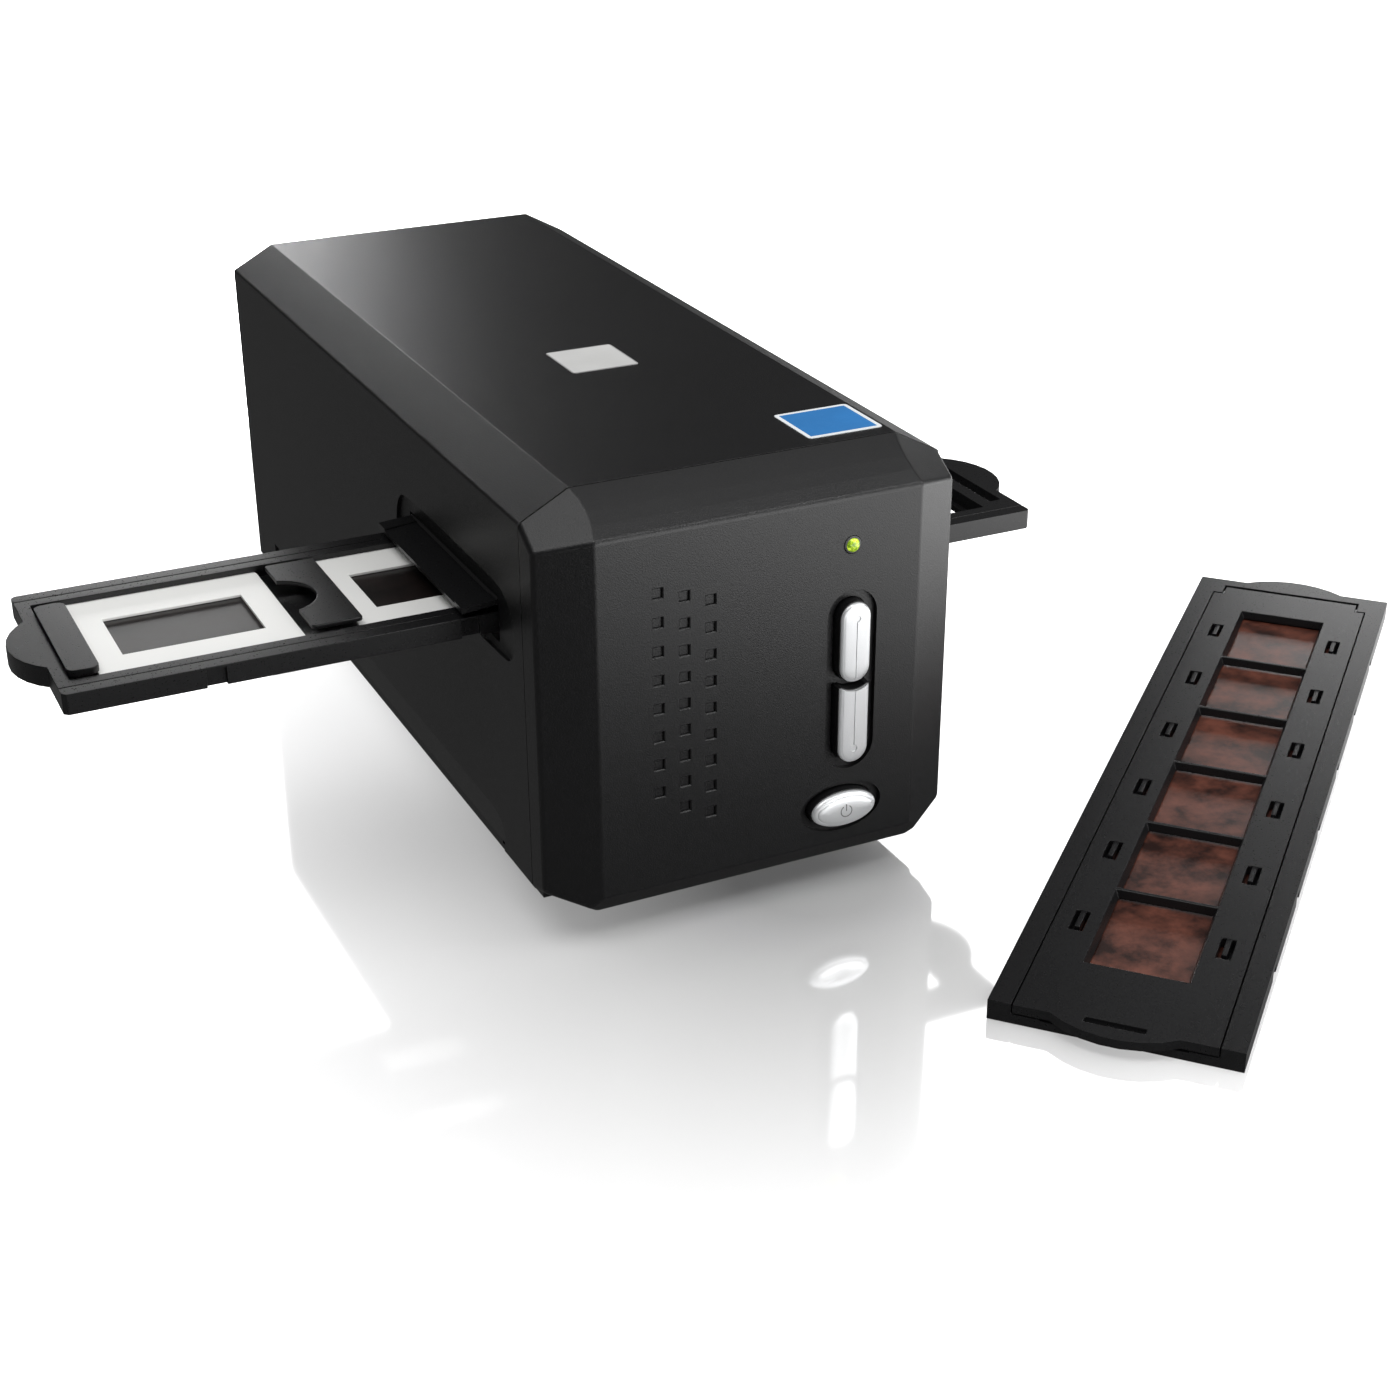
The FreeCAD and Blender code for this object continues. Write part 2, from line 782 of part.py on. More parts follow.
def chassis_frame():
    """A floor with side walls that carry the deck, the rods, the lead screw and the main board."""
    x1 = frame_w / 2
    floor = box(-x1, x1, frame_y0, frame_y1, frame_z, frame_z + frame_t)
    hole_x = x1 - 6 * frame_t
    floor = floor.cut(box(-hole_x, hole_x, frame_y0 + 7 * frame_t, frame_y1 - 4 * frame_t, 0, case_top))
    adds = []
    low = frame_z + frame_t / 2
    for x0, x2 in ((-x1, -x1 + frame_t), (x1 - frame_t, x1)):
        adds.append(box(x0, x2, frame_y0, deck_y1, low, mouth_z))
        adds.append(box(x0, x2, deck_y1, frame_y1, low, board_z))
    wall_x = x1 - frame_t / 2
    high = rod_z + 2 * lead_r
    for y0 in (rod_y0 - frame_t / 2, rod_y1 - frame_t / 2):
        adds.append(box(-wall_x, wall_x, y0, y0 + frame_t, low, high))
    cuts = []
    for share in (0.3, 0.52, 0.74):
        y = frame_y0 + (frame_y1 - frame_y0) * share
        cuts.append(box(-case_w, case_w, y, y + 10 * frame_t, frame_z + 4 * frame_t, mouth_z - 4 * frame_t))
    for x, y in pillar_places():
        cuts.append(rod((x, y, 0), (0, 0, 1), screw_r + fit_gap, frame_z + frame_t + cut_over))
    for x in (gate_x - rod_x, gate_x + rod_x):
        cuts.append(rod((x, 0, rod_z), (0, 1, 0), rod_r + press_gap, case_l))
    cuts.append(rod((gate_x, 0, screw_axis_z), (0, 1, 0), lead_r + run_gap, case_l))
    return floor.fuse(adds).removeSplitter().cut(cuts)


def guide_rods():
    start = rod_y0 - frame_t / 2
    length = rod_y1 - rod_y0 + frame_t
    rods = [rod((gate_x + s * rod_x, start, rod_z), (0, 1, 0), rod_r, length) for s in (-1, 1)]
    return Part.makeCompound(rods)


def scan_motor():
    y0 = rod_y1 + frame_t / 2
    can = rod((gate_x, y0, screw_axis_z), (0, 1, 0), motor_r, motor_l)
    plug = box(
        gate_x - nut_w / 4, gate_x + nut_w / 4, y0 + motor_l / 3, y0 + motor_l * 0.8,
        screw_axis_z, screw_axis_z + motor_r + 2 * frame_t,
    )
    bore = rod((gate_x, y0 - cut_over, screw_axis_z), (0, 1, 0), lead_r + run_gap, motor_l * 0.7 + cut_over)
    return can.fuse(plug).removeSplitter().cut(bore)


def lead_screw():
    start = rod_y0 - frame_t / 2 - cut_over
    end = rod_y1 + frame_t / 2 + motor_l / 2
    shaft = rod((gate_x, start, screw_axis_z), (0, 1, 0), lead_r, end - start)
    collar = rod((gate_x, rod_y1 - frame_t, screw_axis_z), (0, 1, 0), 1.6 * lead_r, frame_t / 3)
    flat = box(gate_x + lead_r * 0.7, gate_x + 2 * lead_r, start - cut_over, start + frame_t / 2, 0, case_top)
    return shaft.fuse(collar).removeSplitter().cut(flat)


def lens_axis(radius, y0, length):
    return rod((gate_x, y0, axis_z), (0, 1, 0), radius, length)


def mirror_plane(back, thick, long, wide):
    """A slab at 45 degrees whose face turns the light from down to back."""
    half = long / 2
    slab = box(-wide / 2, wide / 2, -half, half, -back - thick, -back)
    slab.rotate(Vector(0, 0, 0), Vector(1, 0, 0), -45)
    return moved(slab, gate_x, hold_y, axis_z)


def carriage_frame():
    """An open tub with a mirror wedge, a lens saddle, sensor grooves, rod lugs and a nut pad."""
    x0, x1 = gate_x - tub_w / 2, gate_x + tub_w / 2
    tub = box(x0, x1, tub_y0, tub_y1, tub_z0, tub_z1)
    tub = tub.cut(box(x0 + tub_t, x1 - tub_t, tub_y0 + tub_t, tub_y1 - tub_t, tub_z0 + tub_t, case_top))
    floor = tub_z0 + tub_t / 2
    adds = []
    lean = mirror_t * math.sqrt(2)
    reach = hold_y + axis_z - lean
    wedge_z = axis_z + mirror_l / 3
    near = tub_y0 + tub_t
    wedge = [(near, floor), (reach - floor, floor), (reach - wedge_z, wedge_z), (near, wedge_z)]
    for x in (gate_x - mirror_w / 4, gate_x + mirror_w / 4):
        adds.append(prism_x(wedge, x - rib_t, x + rib_t))
    saddle_w = 2 * lens_r + 2 * tub_t
    saddle = around(gate_x, lens_y + lens_l / 2, saddle_w, lens_l * 0.7, floor, axis_z - lens_r / 3)
    adds.append(saddle.cut(lens_axis(lens_r + press_gap, lens_y - cut_over, lens_l + 2 * cut_over)))
    bush_r = rod_r + run_gap + bush_t
    lug_r = bush_r + lug_t
    rx = gate_x - rod_x
    for y in (tub_y0 + tub_t, tub_y1 - tub_t - bush_l):
        lug = rod((rx, y, rod_z), (0, 1, 0), lug_r, bush_l)
        web = box(rx, x0 + tub_t / 2, y, y + bush_l, rod_z - lug_t, rod_z + lug_t)
        bore = rod((rx, y - cut_over, rod_z), (0, 1, 0), bush_r + press_gap, bush_l + 2 * cut_over)
        adds.append(lug.fuse(web).cut(bore))
    rx = gate_x + rod_x
    y = (tub_y0 + tub_y1) / 2
    gap = rod_r + run_gap
    for z0, z2 in ((rod_z - gap - lug_t, rod_z - gap), (rod_z + gap, rod_z + gap + lug_t)):
        adds.append(box(x1 - tub_t / 2, rx + rod_r, y - bush_l / 2, y + bush_l / 2, z0, z2))
    sensor_y = tub_y1 - 4 * tub_t
    for s in (-1, 1):
        middle = gate_x + s * (tub_w / 2 - 1.5 * tub_t)
        for y0 in (sensor_y - tub_t - fit_gap, sensor_y + board_t + fit_gap):
            adds.append(around(middle, y0 + tub_t / 2, tub_t, tub_t, floor, tub_z1 - tub_t))
    return tub.fuse(adds).removeSplitter()


def carriage_bushes():
    bushes = []
    x = gate_x - rod_x
    for y in (tub_y0 + tub_t, tub_y1 - tub_t - bush_l):
        ring = rod((x, y, rod_z), (0, 1, 0), rod_r + run_gap + bush_t, bush_l)
        bore = rod((x, y - cut_over, rod_z), (0, 1, 0), rod_r + run_gap, bush_l + 2 * cut_over)
        bushes.append(ring.cut(bore))
    return Part.makeCompound(bushes)


def screw_nut():
    y = (tub_y0 + tub_y1) / 2
    low = screw_axis_z - nut_w / 2
    block = around(gate_x, y, nut_w, nut_l, low, tub_z0)
    return block.cut(rod((gate_x, y - nut_l, screw_axis_z), (0, 1, 0), lead_r + run_gap, 2 * nut_l))


def fold_mirror():
    return mirror_plane(0, mirror_t, mirror_l, mirror_w)


def lens_barrel():
    barrel = lens_axis(lens_r, lens_y, lens_l)
    step = lens_axis(lens_r + cut_over, lens_y + lens_l * 0.88, lens_l * 0.12)
    bore = lens_axis(glass_r, lens_y - cut_over, lens_l + 2 * cut_over)
    return barrel.fuse(step).removeSplitter().cut(bore)


def lens_glass():
    first = lens_axis(glass_r - press_gap, lens_y + glass_t / 2, glass_t)
    last = lens_axis(glass_r - press_gap, lens_y + lens_l - 1.5 * glass_t, glass_t)
    return Part.makeCompound([first, last])


def lens_clamp():
    """A strap over the barrel with two screwed feet."""
    y0 = lens_y + lens_l * 0.35
    wide = lens_l * 0.3
    r0 = lens_r + press_gap
    base = axis_z - lens_r / 3
    hoop = lens_axis(r0 + tub_t / 2, y0, wide)
    foot = around(gate_x, y0 + wide / 2, 2 * lens_r + 4 * tub_t, wide, base, base + tub_t / 2)
    body = hoop.fuse(foot).cut(lens_axis(r0, y0 - cut_over, wide + 2 * cut_over))
    return body.cut(box(-case_w, case_w, 0, case_l, 0, base))


def sensor_board():
    y = tub_y1 - 4 * tub_t
    x = tub_w / 2 - tub_t - fit_gap
    return box(gate_x - x, gate_x + x, y, y + board_t, tub_z0 + tub_t, tub_z1)


def line_sensor():
    y = tub_y1 - 4 * tub_t
    half_h = sensor_h / 2
    chip = around(gate_x, y - sensor_t / 2, sensor_w, sensor_t, axis_z - half_h, axis_z + half_h)
    well = box(
        gate_x - sensor_w * 0.45, gate_x + sensor_w * 0.45, y - sensor_t - cut_over,
        y - sensor_t * 0.7, axis_z - sensor_h / 5, axis_z + sensor_h / 5,
    )
    return chip.cut(well)


def lamp_bridge():
    """A hood that spans the film channel on four legs, open above and below."""
    x0, x1 = gate_x - hood_w / 2, gate_x + hood_w / 2
    hood = box(x0, x1, deck_y0, deck_y1, hood_z0, hood_z1)
    hollow = box(x0 + hood_t, x1 - hood_t, deck_y0 + hood_t, deck_y1 - hood_t, hood_z0 + hood_t, case_top)
    window = around(gate_x, hold_y, gate_w, gate_d + 2 * hood_t, 0, case_top)
    body = hood.cut(hollow).cut(window)
    legs = []
    top = mouth_z + deck_t
    for x in (x0, x1 - 3 * leg_d):
        for y in (deck_y0, deck_y1 - leg_d):
            legs.append(box(x, x + 3 * leg_d, y, y + leg_d, top, hood_z0 + hood_t / 2))
    return body.fuse(legs).removeSplitter()


def lamp_diffuser():
    z0 = hood_z0 + hood_t
    return around(gate_x, hold_y, gate_w + 3 * hood_t, gate_d + 5 * hood_t, z0, z0 + hood_t)


def lamp_board():
    return around(gate_x, (deck_y0 + deck_y1) / 2, hood_w, deck_y1 - deck_y0, hood_z1, hood_z1 + board_t)


def lamp_leds():
    """White lamps in a grid under their board."""
    size = 3 * board_t
    low = hood_z1 - board_t
    leds = []
    for a in (-0.33, 0, 0.33):
        for b in (-0.4, -0.14, 0.14, 0.4):
            leds.append(around(gate_x + gate_w * b, hold_y + gate_d * a, size, size, low, hood_z1))
    return Part.makeCompound(leds)


def main_board():
    y0 = deck_y1 + 4 * frame_t
    plate = box(-frame_w / 2, frame_w / 2, y0, case_l - 3 * wall, board_z, board_z + board_t)
    notch = around(gate_x, y0, frame_w / 3, 6 * frame_t, 0, case_top)
    return plate.cut(notch)


def usb_socket():
    y1 = case_l - wall
    x = -case_w / 4
    z0 = board_z + board_t
    can = box(x - usb_w / 2, x + usb_w / 2, y1 - usb_d, y1, z0, z0 + usb_h)
    hollow = box(
        x - usb_w * 0.36, x + usb_w * 0.36, y1 - usb_d * 0.6, y1 + cut_over,
        z0 + usb_h * 0.14, z0 + usb_h * 0.86,
    )
    tongue = box(
        x - usb_w * 0.23, x + usb_w * 0.23, y1 - usb_d * 0.7, y1 - usb_d * 0.1,
        z0 + usb_h * 0.36, z0 + usb_h * 0.64,
    )
    return can.cut(hollow).fuse(tongue).removeSplitter()


def power_socket():
    y1 = case_l - wall
    x = case_w / 4
    z0 = board_z + board_t
    body = box(x - jack_w / 2, x + jack_w / 2, y1 - jack_d, y1, z0, z0 + jack_h)
    axis = z0 + jack_h * 0.55
    bore = rod((x, y1 - jack_d * 0.7, axis), (0, 1, 0), jack_w * 0.33, jack_d)
    pin = rod((x, y1 - jack_d * 0.8, axis), (0, 1, 0), jack_w * 0.11, jack_d * 0.7)
    return body.cut(bore).fuse(pin).removeSplitter()


def board_parts():
    """Chips, a crystal and capacitors on the main board: place, size and height shares."""
    shares = [
        (-0.1, 0.5, 0.2, 0.14, 0.1), (0.22, 0.55, 0.12, 0.1, 0.08), (-0.32, 0.35, 0.08, 0.05, 0.2),
        (0.25, 0.3, 0.1, 0.05, 0.09), (-0.3, 0.68, 0.1, 0.08, 0.08),
    ]
    z0 = board_z + board_t
    long = case_l - deck_y1
    parts = []
    for a, b, w, d, h in shares:
        top = z0 + frame_w * 0.3 * h
        parts.append(around(frame_w * a, deck_y1 + long * b, frame_w * w, long * d, z0, top))
    for a in (0.02, 0.36):
        parts.append(rod((frame_w * a, deck_y1 + long * 0.78, z0), (0, 0, 1), frame_w * 0.04, frame_w * 0.11))
    return Part.makeCompound(parts)


def panel_board():
    return box(panel_x0, panel_x1, panel_y, panel_y + board_t, panel_z0, panel_z1)


def key_places():
    """Centre of each of the three push keys."""
    return [
        (well_x, (upper_z0 + upper_z1) / 2),
        (well_x, (lower_z0 + lower_z1 - key_w / 2) / 2),
        (power_x, power_z),
    ]


def tact_switches():
    switches = []
    for x, z in key_places():
        middle_y = panel_y - switch_t / 2
        body = around(x, middle_y, switch_w, switch_t, z - switch_w / 2, z + switch_w / 2)
        plunger = rod((x, panel_y - switch_t - slack, z), (0, 1, 0), plunger_r, switch_t)
        switches.append(body.fuse(plunger).removeSplitter())
    return Part.makeCompound(switches)


def status_led():
    front = -nose_d - led_bevel / 2
    ring = arc(led_x, led_z, led_r, led_r, 0, 1, more_sides)[:-1]
    return softened(ring, front, panel_y, led_bevel)


def key_stem(x, z):
    """The post behind a key, ending one travel short of its switch."""
    back = -nose_d + face_t + seam_gap
    end = panel_y - switch_t - slack - key_travel - seam_gap
    return rod((x, back, z), (0, 1, 0), plunger_r, end - back)


def retaining_lip(z0, z1):
    """The lip behind the face that stops a scan key from falling out."""
    back = -nose_d + face_t + seam_gap
    return capsule_xz(well_x, z0, z1, key_w + 2 * flange_out, back, back + flange_t)


def finger_dimple(z):
    front = -nose_d - key_proud
    return rod((well_x, front - cut_over, z), (0, 1, 0), key_w / 8, cut_over + key_round / 4)


def upper_scan_button():
    front = -nose_d - key_proud
    back = -nose_d + face_t + seam_gap
    x, z = key_places()[0]
    outline = capsule_ring(well_x, upper_z0, upper_z1, key_w)
    cap = softened(outline, front, back + flange_t, key_round)
    lip = retaining_lip(upper_z0 + key_gap, upper_z1 + flange_out)
    body = cap.fuse([lip, key_stem(x, z)]).removeSplitter()
    return body.cut(finger_dimple(upper_z1 - key_w / 2))


def lower_scan_button():
    front = -nose_d - key_proud
    back = -nose_d + face_t + seam_gap
    x, z = key_places()[1]
    cap = lower_key_area(front, back + flange_t, 0)
    lip = retaining_lip(lower_z0 - flange_out, lower_z1 - key_w)
    body = cap.fuse([lip, key_stem(x, z)]).removeSplitter()
    return body.cut(finger_dimple(lower_z0 + key_w / 2))


def power_button():
    front = -nose_d - key_proud
    back = -nose_d + face_t + seam_gap
    cap = softened(oval_ring(power_x, power_z, power_w, power_h), front, back + flange_t, key_round)
    wide = power_w + 2 * flange_out
    high = power_h + 2 * flange_out
    lip = oval_xz(power_x, power_z, wide, high, back, back + flange_t)
    return cap.fuse([lip, key_stem(power_x, power_z)]).removeSplitter()


def slot_flap_left():
    """The dust flap, resting open above the holder."""
    y0 = hold_y - flap_w / 2
    y1 = y0 + flap_w
    barrel = rod((-flap_x, y0, flap_z), (0, 1, 0), barrel_r, flap_w)
    tip_x = -flap_x - flap_l
    low = flap_z - flap_fall
    t = flap_t / 2
    edge = [(-flap_x, flap_z - t), (tip_x, low - t), (tip_x, low + t), (-flap_x, flap_z + t)]
    body = barrel.fuse(prism_y(edge, y0, y1))
    root_x = -flap_x - barrel_r
    rib = [(root_x, flap_z), (tip_x, low), (tip_x, low + flap_t), (root_x, flap_z + barrel_r / 2)]
    for y in (y0, y1 - 5 * flap_t):
        body = body.fuse(prism_y(rib, y, y + 5 * flap_t))
    return body.removeSplitter().cut(flap_pin(pin_r + run_gap))


def slot_flap_right():
    return mirrored(slot_flap_left())


def flap_pins():
    pin = flap_pin(pin_r)
    return Part.makeCompound([pin, mirrored(pin)])


def top_label_pale():
    x1, y0, y1 = case_w * 0.085, case_l * 0.317, case_l * 0.398
    return rounded_box(-x1, x1, y0, y1, case_top, case_top + film_t, slide_r / 2)


def top_label_blue():
    x0, x1, y0, y1 = case_w * 0.194, case_w * 0.378, case_l * 0.017, case_l * 0.096
    return rounded_box(x0, x1, y0, y1, case_top, case_top + film_t, slide_r / 2)


def slide_places():
    return [gate_x + (i - 2) * slide_pitch for i in range(4)]


def slide_tray():
    """The long frame: two rails, five cross members, rounded end tabs and click notches."""
    x0, x1 = hold_x - tray_l / 2, hold_x + tray_l / 2
    y0, y1 = hold_y - hold_w / 2, hold_y + hold_w / 2
    z1 = hold_z + hold_t
    bevel = slide_r / 2
    plan = [
        (x0 + bevel, y0), (x1 - bevel, y0), (x1, y0 + bevel), (x1, y1 - bevel),
        (x1 - bevel, y1), (x0 + bevel, y1), (x0, y1 - bevel), (x0, y0 + bevel),
    ]
    body = prism_z(plan, hold_z, z1)
    adds = []
    sagitta = tab_out
    tab_r = (tab_w ** 2 / 4 + sagitta ** 2) / (2 * sagitta)
    for end, s in ((x0, -1), (x1, 1)):
        disc = rod((end + s * (sagitta - tab_r), hold_y, hold_z), (0, 0, 1), tab_r, hold_t)
        keep_x0, keep_x1 = sorted((end - s * bevel, end + s * tab_r))
        adds.append(disc.common(box(keep_x0, keep_x1, y0, y1, 0, case_top)))
    body = body.fuse(adds).removeSplitter()
    cuts = []
    half = slide / 2 + fit_gap
    pocket_y0, pocket_y1 = hold_y - half, hold_y + half
    pocket_x0, pocket_x1 = x0 + end_w, x1 - end_w
    pocket_top = ledge_z + slide_t + fit_gap
    cuts.append(box(pocket_x0, pocket_x1, pocket_y0, pocket_y1, ledge_z, pocket_top))
    lip_y0, lip_y1 = hold_y - slide / 2 + bar_t, hold_y + slide / 2 - bar_t
    cuts.append(box(x0 + end_w / 3, pocket_x1, lip_y0, lip_y1, ledge_z, z1 + cut_over))
    for x in slide_places():
        cuts.append(around(x, hold_y, window_w + bar_t, slide - 4 * slide_t, 0, z1 + cut_over))
        cuts.append(around(x, y0, notch_w, 2 * notch_d, hold_z - cut_over, hold_z + click_h))
    last_y = slide / 2 - 2 * slide_t
    cuts.append(box(slide_places()[-1], x1 - end_open, hold_y - last_y, hold_y + last_y, 0, z1 + cut_over))
    for s in (-1, 1):
        edge = hold_y + s * (hold_w / 2 - rail_w / 2)
        for a0, a1 in ((x0, hold_x - slide_pitch * 0.55), (hold_x + slide_pitch * 0.55, x1)):
            cuts.append(box(a0 - cut_over, a1, edge - fit_gap, edge + fit_gap, z1 - slack, z1 + cut_over))
    far = x1 - end_w * 0.62
    cuts.append(box(far, far + end_w / 3, hold_y - bar_l / 2, hold_y + bar_l / 2, 0, z1 + cut_over))
    return body.cut(cuts)


def bar_feet(x, w):
    """Two legs that stand on the cross member, clear of the slides."""
    feet = []
    for s in (-1, 1):
        y = hold_y + s * (bar_l / 2 - 2 * bar_t)
        feet.append(around(x, y, w, 2 * bar_t, ledge_z, bar_z + bar_t / 2))
    return feet


def slide_bars():
    """The three hold-down bars, each with a half round thumb notch."""
    bars = []
    for left, right in zip(slide_places()[:3], slide_places()[1:]):
        middle = (left + right) / 2
        x0, x1 = middle - bar_w * 0.4, middle + bar_w * 0.6
        plate = rounded_box(x0, x1, hold_y - bar_l / 2, hold_y + bar_l / 2, bar_z, bar_z + bar_t, slide_r / 2)
        bite = rod((x0 - bar_w * 0.25, hold_y, 0), (0, 0, 1), bar_w * 0.8, case_top)
        bars.append(plate.fuse(bar_feet(x0 + bar_w * 0.75, bar_w * 0.3)).removeSplitter().cut(bite))
    return Part.makeCompound(bars)


def slide_end_pad():
    x1 = slide_places()[0] - slide / 2 + slack
    x0 = x1 - end_w * 0.74
    y0, y1 = hold_y - bar_l / 2, hold_y + bar_l / 2
    plate = rounded_box(x0, x1, y0, y1, bar_z - bar_t / 2, bar_z + bar_t, slide_r)
    return plate.fuse(bar_feet((x0 + x1) / 2, end_w * 0.4)).removeSplitter()


def slide_mount_at(x):
    z0 = ledge_z
    half = slide / 2
    body = rounded_box(x - half, x + half, hold_y - half, hold_y + half, z0, z0 + slide_t, slide_r)
    body = body.cut(around(x, hold_y, window_w, window_h, 0, case_top))
    middle = z0 + slide_t / 2
    room = around(x, hold_y, window_w + 2 * slide_r, window_h + 2 * slide_r, middle - film_t, middle + film_t)
    return body.cut(room)


def slide_mounts():
    return Part.makeCompound([slide_mount_at(x) for x in slide_places()[:2]])


def slide_films():
    z0 = ledge_z + slide_t / 2 - film_t / 2
    films = []
    for x in slide_places()[:2]:
        films.append(around(x, hold_y, window_w + slide_r, window_h + slide_r, z0, z0 + film_t))
    return Part.makeCompound(films)


def laid(shape):
    """From the strip holder's own frame (U along it, V across) to its place on the table."""
    copy = shape.copy()
    copy.rotate(Vector(0, 0, 0), Vector(0, 0, 1), strip_turn)
    copy.translate(Vector(strip_x, strip_y, 0))
    return copy


def strip_box(u0, u1, v0, v1, z0, z1):
    """U counts from the far end toward the near end, V from the centre line."""
    far = strip_l / 2
    return box(far - u1, far - u0, v0, v1, z0, z1)


def frame_places():
    first = (strip_l - 5 * frame_pitch) / 2
    return [first + i * frame_pitch for i in range(6)]


def strip_tab(u_edge, s, z0, z1):
    """A shallow round tab past one end: s is 1 at the near end, -1 at the far end."""
    radius = (strip_tab_w ** 2 / 4 + strip_tab_out ** 2) / (2 * strip_tab_out)
    centre = strip_l / 2 - u_edge + s * (radius - strip_tab_out)
    disc = rod((centre, 0, z0), (0, 0, 1), radius, z1 - z0)
    u0, u1 = sorted((u_edge - s * strip_tab_out, u_edge + s * radius))
    return disc.common(strip_box(u0, u1, -strip_tab_w / 2, strip_tab_w / 2, z0, z1))


def strip_base():
    """Floor, side rails, far end block with its tab, film groove and six windows."""
    half = strip_w / 2
    inner = half - cover_in
    floor = strip_box(0, strip_l, -half, half, 0, strip_floor)
    adds = []
    for v0, v1 in ((-half, -inner), (inner, half)):
        adds.append(strip_box(0, strip_l, v0, v1, strip_floor / 2, strip_t))
    corner = pivot_u + 2 * cover_in / 3
    adds.append(strip_box(0, cover_far - hinge_gap, -half, half, 0, strip_t))
    for s in (-1, 1):
        v0, v1 = sorted((s * inner, s * (inner - cover_in / 2)))
        adds.append(strip_box(0, corner, v0, v1, strip_floor / 2, strip_t))
    adds.append(strip_tab(0, -1, 0, strip_t))
    body = floor.fuse(adds).removeSplitter()
    cuts = []
    reach = inner - cover_in / 2 - seam_gap
    bay_u0, bay_u1 = cover_far - hinge_gap, pivot_u + strip_floor + cover_gap
    cuts.append(strip_box(bay_u0, bay_u1, -reach, reach, -cut_over, strip_t + cut_over))
    groove = strip_film_w / 2 + fit_gap
    groove_z = strip_floor - 2 * film_t
    cuts.append(strip_box(pivot_u + strip_floor, strip_l + cut_over, -groove, groove, groove_z, strip_t))
    v0, v1 = -frame_h / 2, frame_h / 2
    for u in frame_places():
        cuts.append(strip_box(u - frame_l / 2, u + frame_l / 2, v0, v1, -cut_over, strip_t))
    for s in (-1, 1):
        v0, v1 = sorted((s * (half - rib_t), s * (half + cut_over)))
        for u in frame_places():
            cuts.append(strip_box(u - notch_w / 2, u + notch_w / 2, v0, v1, -cut_over, notch_h))
    cuts.append(hinge_axis(strip_pin_r + press_gap))
    return laid(body.cut(cuts))


def hinge_axis(radius):
    half = strip_w / 2 - cover_in / 3
    return rod((strip_l / 2 - pivot_u, -half, pivot_z), (0, 1, 0), radius, 2 * half)


def strip_pins():
    """Two short steel pins in the far corners."""
    whole = hinge_axis(strip_pin_r)
    inner = strip_w / 2 - cover_in - cover_in / 2 - cover_in
    middle = box(-strip_l, strip_l, -inner, inner, 0, strip_t)
    return laid(whole.cut(middle))


def strip_film():
    first = frame_places()[0] - frame_pitch / 2
    half = strip_film_w / 2
    z0 = strip_floor - 2 * film_t
    return laid(strip_box(first, first + 6 * frame_pitch, -half, half, z0, z0 + film_t))


def strip_cover():
    """The hinged cover: six bevelled windows, twelve snap slots, a near lip with a grip slot."""
    half = strip_w / 2 - cover_in - cover_gap
    z0, z1 = strip_floor + cover_lift, strip_t
    ear = half - cover_in / 2 - seam_gap
    corner = pivot_u + 2 * cover_in / 3 + 2 * cover_gap
    body = strip_box(corner, strip_l, -half, half, z0, z1)
    body = body.fuse(strip_box(cover_far, corner + cut_over, -ear, ear, z0, z1))
    barrel = rod((strip_l / 2 - pivot_u, -ear, pivot_z), (0, 1, 0), strip_barrel_r, 2 * ear)
    body = body.fuse(barrel)
    body = body.fuse(strip_tab(strip_l, 1, z0, z1).common(strip_box(0, 2 * strip_l, -half, half, z0, z1)))
    far_x = strip_l / 2 - cover_far
    edge = (z1 - z0) * 0.45
    bevel = [(far_x - edge, z1 + fit_gap), (far_x + fit_gap, z1 - edge), (far_x + edge, z1 + edge)]
    cuts = [prism_y(bevel, -strip_w, strip_w)]
    open_v, open_u = frame_h / 2 + edge, frame_l / 2 + rib_t / 3
    for u in frame_places():
        rings = []
        for z, grow in ((z0 - fit_gap, 0), (z1 + fit_gap, 1)):
            v = frame_h / 2 + grow * (open_v - frame_h / 2)
            d = frame_l / 2 + grow * (open_u - frame_l / 2)
            x = strip_l / 2 - u
            ring = [Vector(x - d, -v, z), Vector(x + d, -v, z), Vector(x + d, v, z), Vector(x - d, v, z)]
            rings.append(Part.makePolygon(ring + [ring[0]]))
        cuts.append(Part.makeLoft(rings, True, True))
        for s in (-1, 1):
            v = s * strip_w * 0.3
            side = rib_t * 1.3
            slot = strip_box(u - notch_w, u + notch_w, v - side, v + side, 0, strip_t + cut_over)
            tongue_u0, tongue_u1 = u - notch_w * 1.2, u + notch_w * 0.6
            tongue = strip_box(tongue_u0, tongue_u1, v - rib_t / 2, v + rib_t / 2, z0, z1 - fit_gap)
            cuts.append(slot.cut(tongue))
    cuts.append(strip_box(strip_l - rib_t, strip_l + rib_t / 2, -tab_w / 4, tab_w / 4, 0, strip_t + cut_over))
    cuts.append(hinge_axis(strip_pin_r + run_gap))
    return laid(body.removeSplitter().cut(cuts))


def save(node, shape):
    """Write one node, with Y counted from the middle of the front foot."""
    placed = shape.copy()
    placed.translate(Vector(0, -foot_y, 0))
    placed.exportStep("parts/" + node + ".step")
    counts = len(placed.Solids)
    bounds = placed.BoundBox
    print(
        node, counts, placed.isValid(),
        "x %.1f..%.1f y %.1f..%.1f z %.1f..%.1f"
        % (bounds.XMin, bounds.XMax, bounds.YMin, bounds.YMax, bounds.ZMin, bounds.ZMax),
    )


